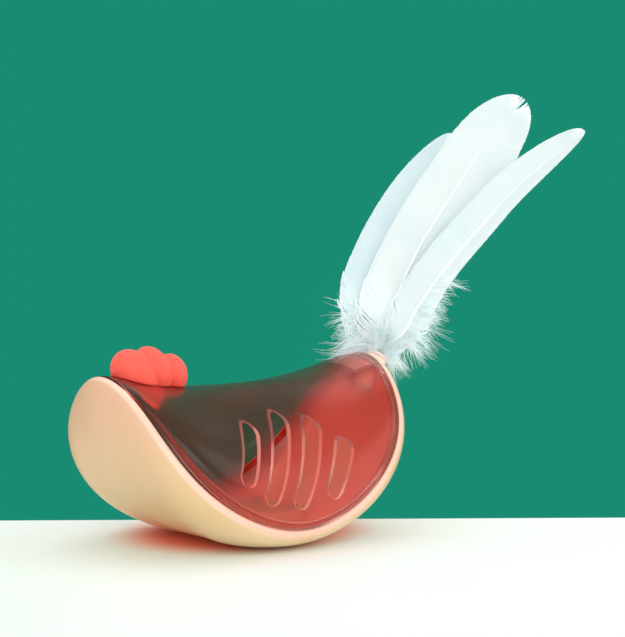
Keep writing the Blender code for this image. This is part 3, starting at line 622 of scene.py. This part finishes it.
def seam_ring(distance, depth):
    """A ring at one distance from the seam and one depth under the face."""
    return under_face(from_seam(distance), turn, depth)


def keel_ring(share, depth):
    """A ring at a share of the way from the keel up to the band of even rings at the rim."""
    return under_face(from_seam(-rim_band) * share, turn, depth)


def roof_ring(share, depth):
    """A ring at a share of the way from the band of even rings up to the roof's middle."""
    low = from_seam(roof_band)
    return under_face(low + (2.0 - low) * share, turn, depth)


def base_piece(finish):
    """The cream base: keel to rim outside, a rounded rim, and back down inside. rim is 1 at the
    rounded edge, where it lays a painted highlight, and fades to 0 below it; inside is 1 on the inner
    face, and deep grows from 0 at the seam's height to 1 at some depth below it, more on the far side,
    taking the inner face from painted shade under the rim to painted red light."""
    # rim_fade and rim_end set where the painted rim highlight fades out below the seam
    rim_fade, rim_end = 1.3 * MM, 3.2 * MM
    # how far below the seam the painted shade reaches, in millimetres, on the near and the far side
    near_depth, far_depth = 4.0, 14.0
    shares = np.linspace(0.012, 1.0, 42)**0.9
    rings, rim, inner = [], [], []

    def put(ring, value, inside=0.0):
        rings.append(ring)
        rim.append(np.full(around, value))
        inner.append(np.full(around, inside))

    for share in shares:
        put(keel_ring(share, 0.0), 0.0)
    for distance in np.linspace(-7.0, -1.45, 14) * MM:
        put(seam_ring(distance, 0.0), float(np.clip(1.0 + (distance + rim_end) / rim_fade, 0.0, 1.0)))
    for angle in np.linspace(0.0, 0.5 * math.pi, 7):
        below, under = rim_round * (1.0 - math.sin(angle)), rim_round * (1.0 - math.cos(angle))
        put(seam_ring(-half_gap - below, under), 1.0)
    put(seam_ring(-half_gap, 0.5 * (rim_round + base_wall)), 1.0)
    put(seam_ring(-half_gap, base_wall), 1.0, 1.0)
    for distance in (-1.0, -2.2, -4.0, -6.0):
        put(seam_ring(distance * MM, base_wall), 0.0, 1.0)
    for share in shares[::-2]:
        put(keel_ring(share, base_wall), 0.0, 1.0)
    rings = np.array(rings)
    drop = face_point(1.0, turn)[:, 2] - rings[..., 2]
    full = near_depth + (far_depth - near_depth) * np.clip(np.sin(turn), 0.0, 1.0)
    deep = np.clip(drop / (full * MM), 0.0, 1.0)
    foot = (0.0, 0.0, middle_height - keel_depth)
    vertices, faces = skin(rings, foot, (0.0, 0.0, foot[2] + base_wall))
    vertices[:, 2] = np.maximum(vertices[:, 2], 0.0)
    numbers = {"rim": np.concatenate(rim + [[0.0, 0.0]]), "inside": np.concatenate(inner + [[0.0, 1.0]]),
               "deep": np.append(deep.reshape(-1), [1.0, 1.0])}
    return make_piece("cream_base", vertices, faces, finish, numbers)


def slot_cutter(i):
    """One slot of the row: a slanted stadium outline pushed through the near side along y. The
    two outer slots are short."""
    place = i - 0.5 * (slot_count - 1)
    middle = np.array([slot_spacing * place - slot_row_offset, slot_height - slot_row_fall * place])
    length = slot_short if i in (0, slot_count - 1) else slot_long
    along = np.array([math.sin(slot_slant), math.cos(slot_slant)])
    aside = np.array([math.cos(slot_slant), -math.sin(slot_slant)])
    angle = np.linspace(0.0, math.pi, 20)[:, None]
    half = slot_radius * (np.cos(angle) * aside + np.sin(angle) * along)
    half += (0.5 * length - slot_radius) * along
    outline = middle + np.concatenate([half, -half])
    rings = [np.stack([outline[:, 0], np.full(len(outline), -reach), outline[:, 1]], -1)
             for reach in (slot_outer_reach, slot_inner_reach)]
    return mark_cut(make_piece(f"slot_{i}", *skin(rings), None), 1.0)


def cover_piece(finish):
    """The red cover: roof outside, rounded edge, a step down to the lip that enters the base,
    and back up inside, where the wall's thickness eases from the lip's to the cover's."""
    lip_inside = lip_depth + lip_wall
    shares = np.linspace(0.0, 0.985, 40)
    rings = [roof_ring(share, 0.0) for share in shares[::-1]]
    rings += [seam_ring(distance * MM, 0.0) for distance in (4.0, 3.0, 2.0, 1.2)]
    for angle in np.linspace(0.0, 0.5 * math.pi, 5):
        above, under = cover_round * (1.0 - math.sin(angle)), cover_round * (1.0 - math.cos(angle))
        rings.append(seam_ring(half_gap + above, under))
    rings += [seam_ring(half_gap, step_middle), seam_ring(half_gap, lip_depth)]
    rings += [seam_ring(distance, lip_depth) for distance in (-half_gap, -0.5 * lip_length, -lip_length)]
    rings += [seam_ring(distance, lip_inside) for distance in (-lip_length, -0.5 * lip_length, half_gap)]
    for share in np.linspace(0.25, 0.95, 8):
        ease = share * share * (3.0 - 2.0 * share)
        rings.append(seam_ring(lip_run_out * share, lip_inside + (cover_wall - lip_inside) * ease))
    rings += [roof_ring(share, cover_wall) for share in shares]
    top = middle_height + roof_rise
    vertices, faces = skin(rings, (0.0, 0.0, top), (0.0, 0.0, top - cover_wall))
    return mark_cut(make_piece("red_cover", vertices, faces, finish), 0.0)


def neck_cutter():
    """The room for the socket's neck: a round bar on the tail's axis through the casing."""
    room = bar(mouth - tail_way * neck_room_start, tail_way, neck_room_length, neck_room_radius)
    return make_piece("neck_cutter", *room, None)


def socket_cutter():
    """The room for the socket's wedge: a block bent to the face under the cover's wall."""
    distances = np.linspace(*wedge_room_distances, 14)
    outer, inner = wedge_room_depths
    outline = [(distance, outer) for distance in distances]
    outline += [(distance, inner) for distance in distances[::-1]]
    turns = np.linspace(-wedge_room_half_turn, wedge_room_half_turn, 25)
    rings = np.array([[under_face(from_seam(distance, t), t, depth) for distance, depth in outline]
                      for t in turns])
    number, count = rings.shape[:2]
    last = count - 1
    faces = ring_faces(count, number)
    for first in (0, (number - 1) * count):
        faces += [[first + i, first + i + 1, first + last - i - 1, first + last - i]
                  for i in range(len(distances) - 1)]
    cutter = make_piece("socket_cutter", rings.reshape(-1, 3), faces, None)
    edit = bmesh.new()
    edit.from_mesh(cutter.data)
    bmesh.ops.recalc_face_normals(edit, faces=edit.faces)
    edit.to_mesh(cutter.data)
    edit.free()
    return cutter


def roof_height(x, y):
    """Height of the roof over each place: the mean height of the points of a fine grid of the
    face round there, each weighted by 1 divided by the fourth power of its distance."""
    patch_half_length, patch_half_width = 30.0 * MM, 16.0 * MM
    s, t = np.meshgrid(np.linspace(1.0, 2.0, 161), np.linspace(0.0, 2.0 * math.pi, 361), indexing="ij")
    grid = face_point(s, t).reshape(-1, 3)
    near = grid[(np.abs(grid[:, 0] - x.mean()) < patch_half_length) & (grid[:, 1]**2 < patch_half_width**2)]
    apart = (near[None, :, 0] - x.reshape(-1, 1))**2 + (near[None, :, 1] - y.reshape(-1, 1))**2 + 1e-10
    weight = 1.0 / apart**2
    return ((weight * near[None, :, 2]).sum(1) / weight.sum(1)).reshape(x.shape)


comb_seat = float(roof_height(np.array([comb_middle]), np.array([0.0]))[0])


def comb_piece(finish):
    """Three soft lobes in one skin. A ray from the comb's middle line meets the three leaning
    ellipsoids at three distances, each the root of a square, a linear and a constant term, and
    the skin lies at their soft maximum, so that creases form where two lobes meet. What would
    lie in the roof is lifted to it."""
    u = np.linspace(0.0, math.pi, 150)[1:-1]
    v = np.linspace(0.0, 2.0 * math.pi, 96, endpoint=False)
    length = comb_line_end - comb_line_start
    x = 0.5 * (comb_line_start + comb_line_end) - 0.5 * length * np.cos(u)
    line_z = comb_seat + comb_line_rise - comb_line_fall * (x - comb_line_start) / length
    x, v = np.meshgrid(x, v, indexing="ij")
    line_z = np.broadcast_to(line_z[:, None], x.shape)
    total = np.zeros(x.shape)
    for middle, lift, half_length, half_width, half_height, lean in comb_lobes:
        rise = line_z - comb_seat - lift * MM
        shift = (x - middle * MM + lean * rise) / (half_length * MM)
        slide = lean * np.sin(v) / (half_length * MM)
        square = slide**2 + (np.cos(v) / (half_width * MM))**2 + (np.sin(v) / (half_height * MM))**2
        linear = shift * slide + np.sin(v) * rise / (half_height * MM)**2
        constant = shift**2 + (rise / (half_height * MM))**2 - 1.0
        inside = linear**2 - square * constant
        root = np.sqrt(np.maximum(inside, 0.0))
        reach = np.where(inside > 0.0, np.maximum((root - linear) / square, 0.0), 0.0)
        total += (reach / MM)**crease_power
    reach = total**(1.0 / crease_power) * MM
    y, z = reach * np.cos(v), line_z + reach * np.sin(v)
    z = np.maximum(z, roof_height(x, y) + comb_over_roof)
    vertices, faces = skin(np.stack([x, y, z], -1))
    return make_piece("comb", vertices, faces, finish, smooth_angle=0.0)


def stem_piece(finish):
    """The comb's hollow stem: down inside from the ceiling of its bore, round the foot and up
    outside into the middle lobe."""
    foot = comb_seat - cover_wall - stem_length
    stations = [(bore_radius, comb_seat), (bore_radius, foot + stem_chamfer),
                (bore_radius + stem_chamfer, foot), (stem_radius - stem_chamfer, foot),
                (stem_radius, foot + stem_chamfer), (stem_radius, comb_seat + stem_in_lobe)]
    angle = np.linspace(0.0, 2.0 * math.pi, 48, endpoint=False)
    circle = np.stack([np.cos(angle), np.sin(angle), np.zeros(len(angle))], -1)
    rings = [radius * circle + [comb_middle, 0.0, z] for radius, z in stations]
    return make_piece("comb_stem", *skin(rings), finish)


def hole_cutter():
    """The round hole in the roof that the comb's stem goes through."""
    hole = bar((comb_middle, 0.0, hole_low), (0.0, 0.0, 1.0), hole_length, hole_radius)
    return make_piece("hole", *hole, None)


# Feathers and down


def smooth_path(points, count):
    """A Hermite curve through the points in even steps of chord length, each slope taken from
    the neighbours on either side."""
    p = np.asarray(points)
    chord = np.concatenate([[0.0], np.cumsum(np.linalg.norm(np.diff(p, axis=0), axis=1))])
    slope = np.gradient(p, chord, axis=0)
    at = np.linspace(0.0, chord[-1], count)
    k = np.clip(np.searchsorted(chord, at, side="right") - 1, 0, len(p) - 2)
    span = (chord[k + 1] - chord[k])[:, None]
    u = (at - chord[k])[:, None] / span
    return ((2*u**3 - 3*u**2 + 1) * p[k] + (u**3 - 2*u**2 + u) * span * slope[k]
            + (3*u**2 - 2*u**3) * p[k + 1] + (u**3 - u**2) * span * slope[k + 1])


class Shaft:
    """A feather's shaft: points, ways along, across and up at any share of its length. The
    across way is square to the shaft and to the front of the fan, and up is square to both."""

    def __init__(self, angle, way_shares):
        out = math.cos(angle) * tail_beside + math.sin(angle) * np.array([0.0, 1.0, 0.0])
        start = mouth + quill_circle * out
        route = [start + tail_way * distance for distance in quill_stations]
        route += [mouth + feather_length * np.array(shares) for shares in way_shares]
        self.points = smooth_path(route, 400)
        step = np.linalg.norm(np.diff(self.points, axis=0), axis=1)
        self.length = step.sum()
        self.share = np.concatenate([[0.0], np.cumsum(step)]) / self.length
        along = np.gradient(self.points, axis=0)
        self.along = along / np.linalg.norm(along, axis=1, keepdims=True)
        front = np.array([math.sin(fan_facing), -math.cos(fan_facing), 0.0])
        across = np.cross(self.along, front)
        self.across = across / np.linalg.norm(across, axis=1, keepdims=True)
        self.up = np.cross(self.across, self.along)

    def at(self, share, of):
        """The shaft's points, or one of its ways, at shares of its length."""
        return np.stack([np.interp(share, self.share, of[:, k]) for k in range(3)], -1)


def strand_faces(strands):
    """Faces of many closed strands of the same make: a tube of four sides over its stations,
    with both ends shut."""
    sides = 4
    size = strand_stations * sides
    one = [face[::-1] for face in ring_faces(sides, strand_stations)]
    one.append(list(range(sides)))
    one.append(list(range(size - sides, size))[::-1])
    first = (np.arange(strands) * size)[:, None, None]
    return (first + np.array(one)[None]).reshape(-1, sides).tolist()


def barbs(shaft, first, half_width, tip_power, side, seed):
    """One vane: flat barbs that leave the shaft on a slant and end on the vane's outline.
    A barb's point is the shaft's at a share that runs forward, plus the way across times the
    outline's half width there times a curve of the barb's own share, less a camber. Near the
    vane's start the barbs are fluff: thinner, less even and more upright."""
    chance = np.random.default_rng(seed)
    v = 1.0 - (1.0 - np.linspace(0.0, 0.995, barb_count))**1.3
    root = first + (1.0 - first) * v
    clump = np.interp(root, np.linspace(first, 1.0, 28), chance.normal(0.0, 1.0, 28))
    fluff = np.clip(1.0 - v / 0.22, 0.0, 1.0)
    lead = barb_slant * (1.0 - 0.45 * v) * (1.0 - 0.65 * fluff) + 0.004 * clump * (1.0 - v)
    end = np.minimum(root + lead + chance.normal(0.0, 0.0006 + 0.004 * fluff), 1.0)

    def outline(share):
        """The vane's half width: a rounded start times a tip as blunt as its power."""
        v = np.clip((share - first) / (1.0 - first), 0.0, 1.0)
        opening = np.sqrt(1.0 - (1.0 - np.clip(v / 0.14, 0.0, 1.0))**2)
        return half_width * opening * np.sqrt(np.clip(1.0 - v**tip_power, 0.0, 1.0))

    q = np.linspace(0.0, 1.0, strand_stations)[None, :]
    share = root[:, None] + (end - root)[:, None] * q**1.15
    reach = (outline(end) * (1.0 + chance.normal(0.0, 0.006 + 0.05 * fluff)))[:, None]
    off = reach * np.sin(0.5 * math.pi * q**0.92)**0.97
    at = shaft.at(share, shaft.points)
    across, up = shaft.at(share, shaft.across), shaft.at(share, shaft.up)
    camber = vane_camber * (off / half_width)**2
    wave = (0.08 + 0.5 * fluff[:, None]) * MM * np.sin(4.0 * q + 5.0 * clump[:, None]) * q
    spine = at + side * off[..., None] * across + (wave - camber)[..., None] * up
    way = np.gradient(spine, axis=1)
    way /= np.linalg.norm(way, axis=2, keepdims=True) + 1e-12
    flat = np.cross(up, way)
    flat /= np.linalg.norm(flat, axis=2, keepdims=True) + 1e-12
    pitch = 1.3 * (1.0 - first) * shaft.length / barb_count
    half = (0.95 * pitch * (1.0 - 0.55 * q**3) * (1.0 - 0.6 * fluff[:, None]))[..., None]
    edge = half * flat + up * barb_lift
    thick = up * barb_half_thickness
    ring = np.stack([spine + edge, spine + thick, spine - edge, spine - thick], 2)
    shape = ring.shape[:3]
    along = np.broadcast_to(q[..., None], shape).reshape(-1)
    streak = np.broadcast_to(chance.uniform(0.0, 1.0, barb_count)[:, None, None], shape).reshape(-1)
    return ring.reshape(-1, 3), strand_faces(barb_count), along, streak


def shaft_skin(shaft, first):
    """The quill and shaft: flattened rings that thin from the bare quill to the tip."""
    share = np.linspace(0.0, 1.0, 70)
    at = shaft.at(share, shaft.points)
    across, up = shaft.at(share, shaft.across), shaft.at(share, shaft.up)
    v = np.clip((share - first) / (1.0 - first), 0.0, 1.0)
    radius = quill_radius * (1.0 - v) + quill_tip_radius * v
    angle = np.linspace(0.0, 2.0 * math.pi, 10, endpoint=False)[None, :, None]
    circle = np.cos(angle) * across[:, None] + 0.8 * np.sin(angle) * up[:, None]
    return skin(at[:, None] + radius[:, None, None] * circle)


def join(parts):
    """Several (vertices, faces, along, streak) sets as one."""
    faces, count = [], 0
    for vertices, part_faces, _, _ in parts:
        faces += [[count + i for i in face] for face in part_faces]
        count += len(vertices)
    vertices, _, along, streak = zip(*parts)
    return np.concatenate(vertices), faces, {"along": np.concatenate(along), "streak": np.concatenate(streak)}


def feather_piece(name, shaft, outer, inner, tip_power, warm, finish, seed):
    """A feather: its shaft, and the vanes on both sides with their half widths in millimetres."""
    first = vane_start / shaft.length
    vertices, faces = shaft_skin(shaft, first)
    vertices, faces, numbers = join([
        (vertices, faces, np.zeros(len(vertices)), np.ones(len(vertices))),
        barbs(shaft, first, outer * MM, tip_power, -1.0, seed),
        barbs(shaft, first, inner * MM, tip_power, 1.0, seed + 1)])
    numbers["warm"] = np.full(len(vertices), warm)
    return make_piece(name, vertices, faces, finish, numbers, smooth_angle=60.0)


def fringe(shaft, shares, number, side, lengths, rises, seed, forward):
    """Roots along a shaft between two shares, ways that fan from the first rise to the second
    along it, and lengths. Strands stand in clumps that share a root and a way, each strand a
    little apart, and forward leans them toward the front."""
    chance = np.random.default_rng(seed)
    clumps = number // clump_size
    low, high = shares
    share = np.sort(chance.uniform(low, high, clumps))
    v = (share - low) / (high - low)
    across, along, up = (shaft.at(share, way) for way in (shaft.across, shaft.along, shaft.up))
    rise = (rises[0] + (rises[1] - rises[0]) * v)[:, None]
    ways = side * across + rise * along + chance.normal(forward, 0.3, (clumps, 1)) * up
    ways += chance.normal(0.0, 0.14, (clumps, 3))
    reach = (lengths[0] + (lengths[1] - lengths[0]) * v) * chance.uniform(0.75, 1.08, clumps) * MM
    roots = np.repeat(shaft.at(share, shaft.points), clump_size, axis=0)
    roots = roots + chance.normal(0.0, 0.3 * MM, (number, 3))
    ways = np.repeat(ways / np.linalg.norm(ways, axis=1, keepdims=True), clump_size, axis=0)
    ways = ways + chance.normal(0.0, 0.07, (number, 3))
    return roots, ways, np.repeat(reach, clump_size) * chance.uniform(0.7, 1.05, number)


def down_piece(name, roots, ways, lengths, droop, front, finish, seed):
    """Loose down: flat strands that start at roots, run along ways, and bend with the square
    and the cube of their own share q, by their droop and a little at random with their clump,
    thinning to a point. Their flat side faces front."""
    chance = np.random.default_rng(seed)
    number = len(roots)
    clumps = number // clump_size
    q = np.linspace(0.0, 1.0, strand_stations)[None, :, None]
    bend = np.repeat(chance.normal(0.0, 0.17, (clumps, 1, 3)), clump_size, axis=0)
    bend += [0.0, 0.0, droop] + chance.normal(0.0, 0.07, (number, 1, 3))
    curl = np.repeat(chance.normal(0.0, 0.12, (clumps, 1, 3)), clump_size, axis=0)
    spine = roots[:, None] + lengths[:, None, None] * (q * ways[:, None] + q**2 * bend + q**3 * curl)
    way = np.gradient(spine, axis=1)
    way /= np.linalg.norm(way, axis=2, keepdims=True)
    flat = np.cross(front, way)
    flat /= np.linalg.norm(flat, axis=2, keepdims=True)
    up = np.cross(way, flat) * down_half_thickness
    side = flat * down_half_width * (1.0 - 0.75 * q)
    ring = np.stack([spine + side, spine + up, spine - side, spine - up], 2)
    along = np.broadcast_to(q[..., None], (*ring.shape[:3], 1)).reshape(-1)
    streak = np.repeat(chance.uniform(0.2, 1.0, number), ring.shape[1] * ring.shape[2])
    numbers = {"along": along, "streak": streak, "warm": np.full(len(along), 0.5)}
    return make_piece(name, ring.reshape(-1, 3), strand_faces(number), finish, numbers, smooth_angle=35.0)


# Camera and stage


def make_camera():
    """The photograph's view: 36 degrees round from the near side, 8.5 degrees above. It aims
    at a place that lies some pixels to the right of the casing's middle and above it."""
    data = bpy.data.cameras.new("camera")
    data.lens, data.sensor_width, data.sensor_fit = 162.5, 36.0, "HORIZONTAL"
    data.clip_start, data.clip_end = 0.01, 50.0
    camera = bpy.data.objects.new("camera", data)
    bpy.context.scene.collection.objects.link(camera)
    level = math.cos(view_rise)
    back = Vector((math.sin(view_turn) * level, -math.cos(view_turn) * level, math.sin(view_rise)))
    right = Vector((math.cos(view_turn), math.sin(view_turn), 0.0))
    up = back.cross(right)
    camera.location = Vector((0.0, 0.0, middle_height)) + back * view_distance
    aim = -back * pixels_away + right * pixels_right + up * pixels_up
    camera.rotation_mode = "QUATERNION"
    camera.rotation_quaternion = aim.to_track_quat("-Z", "Y")
    bpy.context.scene.camera = camera


def make_table(finish):
    """A slab whose back edge lies a little behind the part, square to the camera's view."""
    away = np.array([-math.sin(view_turn), math.cos(view_turn)])
    right = np.array([math.cos(view_turn), math.sin(view_turn)])
    corners = np.array([away * reach + right * aside for reach, aside in (
        (table_behind, -table_half_width), (table_behind, table_half_width),
        (-table_front, table_half_width), (-table_front, -table_half_width))])
    top = np.concatenate([corners, np.zeros((4, 1))], 1)
    vertices = np.concatenate([top - [0.0, 0.0, table_thickness], top])
    faces = [[0, 1, 2, 3], [7, 6, 5, 4]] + [[i, (i + 1) % 4, 4 + (i + 1) % 4, 4 + i] for i in range(4)]
    table = make_piece("table", vertices, turned_out(vertices, faces), finish)


def make_light(name, place, aim, size, power):
    """A round soft lamp at a place, which shines toward its aim."""
    data = bpy.data.lights.new(name, "AREA")
    data.shape = "DISK"
    data.size = size
    data.energy = power
    lamp = bpy.data.objects.new(name, data)
    bpy.context.scene.collection.objects.link(lamp)
    lamp.location = place
    lamp.rotation_mode = "QUATERNION"
    lamp.rotation_quaternion = (Vector(aim) - Vector(place)).to_track_quat("-Z", "Y")


def make_world():
    """A green wall to the camera, in reflections and through the cover, and soft white light
    to everything else."""
    wall_green, white = (0.0103, 0.258, 0.171, 1.0), (1.0, 1.0, 1.0, 1.0)
    world = bpy.data.worlds.new("studio")
    bpy.context.scene.world = world
    world.use_nodes = True
    tree = world.node_tree
    tree.nodes.clear()
    rays = tree.nodes.new("ShaderNodeLightPath")
    seen = rays.outputs["Is Camera Ray"]
    for name in ("Is Glossy Ray", "Is Transmission Ray"):
        either = tree.nodes.new("ShaderNodeMath")
        either.operation = "MAXIMUM"
        tree.links.new(seen, either.inputs[0])
        tree.links.new(rays.outputs[name], either.inputs[1])
        seen = either.outputs[0]
    choice = tree.nodes.new("ShaderNodeMixShader")
    tree.links.new(seen, choice.inputs[0])
    for i, color in ((1, white), (2, wall_green)):
        light = tree.nodes.new("ShaderNodeBackground")
        light.inputs["Color"].default_value = color
        light.inputs["Strength"].default_value = 1.0
        tree.links.new(light.outputs[0], choice.inputs[i])
    output = tree.nodes.new("ShaderNodeOutputWorld")
    tree.links.new(choice.outputs[0], output.inputs["Surface"])


# The scene

make_camera()
bpy.context.scene.view_settings.view_transform = "Standard"
make_world()
make_table(pale_table("table_top"))

# Each lamp's name, place, aim, size and power
for name, place, aim, size, power in (
        ("key", (-1.3, -0.6, 0.8), (0.0, 0.0, 0.06), 1.5, 4.3),
        ("fill", (1.0, -0.9, 0.5), (0.0, 0.0, 0.06), 1.3, 4.0),
        ("low", (-0.6, -1.3, 0.25), (0.0, 0.0, 0.03), 1.0, 4.6),
        ("top", (0.1, 0.35, 1.4), (0.0, 0.0, 0.0), 1.2, 3.8)):
    make_light(name, place, aim, size, power)

cream_shell = moulded_cream("cream_plastic_shell", True)
cream = moulded_cream("cream_plastic", False)
pale = moulded_cream("cream_plastic_pale", False, (0.97, 0.74, 0.62))
red = clear_red("clear_red_plastic")
coral = soft_coral("coral_silicone")
blush = blush_rubber("blush_silicone")
iron = cast_iron("cast_iron")
steel = plated_steel("zinc_steel")
silver = drawn_aluminium("aluminium")
white = feather_white("white_feather")

screws = [(f"tray_screw_{i}", steel) for i in range(1, 5)]
for node, finish in [("counterweight", iron), ("ballast_tray", cream), *screws, ("feather_socket", pale),
                     ("feather_sleeve", blush), ("quill_ferrule", silver)]:
    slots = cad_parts[node].data.materials
    slots.clear()
    slots.append(finish)

base = apply_cuts(base_piece(cream_shell), [neck_cutter()])
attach(base, "casing")
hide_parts("base_shell")

cover = apply_cuts(cover_piece(red), [socket_cutter()])
apply_cuts(cover, [neck_cutter(), hole_cutter()] + [slot_cutter(i) for i in range(slot_count)])
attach(cover, "casing")
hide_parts("cover_shell")

for piece in (comb_piece(coral), stem_piece(coral)):
    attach(piece, "comb")
    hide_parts("comb_stopper")

left_shaft = Shaft(math.radians(90.0), (
    (0.005, 0.035, 0.1), (0.01, 0.064, 0.2), (0.069, 0.079, 0.304), (0.199, 0.093, 0.482),
    (0.41, 0.109, 0.695)))
center_shaft = Shaft(math.radians(210.0), (
    (0.035, -0.012, 0.11), (0.085, -0.026, 0.23), (0.16, -0.043, 0.37), (0.27, -0.064, 0.522),
    (0.39, -0.086, 0.687), (0.527, -0.107, 0.812)))
right_shaft = Shaft(math.radians(330.0), (
    (0.06, -0.05, 0.07), (0.113, -0.08, 0.17), (0.195, -0.122, 0.296), (0.287, -0.157, 0.402),
    (0.376, -0.207, 0.514), (0.484, -0.264, 0.62), (0.593, -0.321, 0.716)))

# Each feather's node, shaft, half widths of its two vanes in millimetres, how blunt its tip is,
# how warm its tone is, and seed
for name, shaft, outer, inner, tip_power, warm, seed in (
        ("feather_left", left_shaft, 11.5, 11.0, 3.2, 0.3, 11),
        ("feather_center", center_shaft, 15.4, 18.4, 7.0, 0.75, 21),
        ("feather_right", right_shaft, 11.0, 6.0, 4.0, 0.55, 31)):
    piece = feather_piece("vane_" + name, shaft, outer, inner, tip_power, warm, white, seed)
    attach(piece, "tail")
    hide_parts(name)

# Each tuft's name, node, shaft and two shares of it, number of strands, side, lengths in
# millimetres and rises at those shares, droop, and lean toward the front
tufts = (
    ("down_left_high", "down_tuft_1", left_shaft, (0.12, 0.26), 440, -1, (20, 15), (-0.1, 0.35), -0.2, 0),
    ("down_left_low", "down_tuft_2", left_shaft, (0.085, 0.2), 440, -1, (18, 20), (-0.5, 0.1), -0.2, 0),
    ("down_right_high", "down_tuft_3", right_shaft, (0.17, 0.38), 440, 1, (15, 9.5), (0.1, 0.7), -0.1, 0),
    ("down_right_low", "down_tuft_4", right_shaft, (0.085, 0.2), 280, 1, (14, 15), (-0.6, 0.2), -0.2, 0),
    ("down_middle_left", "down_tuft_2", left_shaft, (0.06, 0.13), 640, 1, (8, 12), (0.6, 2), 0, 1),
    ("down_middle_right", "down_tuft_3", center_shaft, (0.06, 0.13), 640, -1, (7, 12), (0.4, 2), 0, 1))
for seed, row in enumerate(tufts, first_tuft_seed):
    name, node, shaft, shares, number, side, lengths, rises, droop, forward = row
    roots, ways, reach = fringe(shaft, shares, number, side, lengths, rises, seed, forward)
    tuft = down_piece(name, roots, ways, reach, droop, shaft.up[60], white, seed)
    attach(tuft, "tail")
    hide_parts(node)
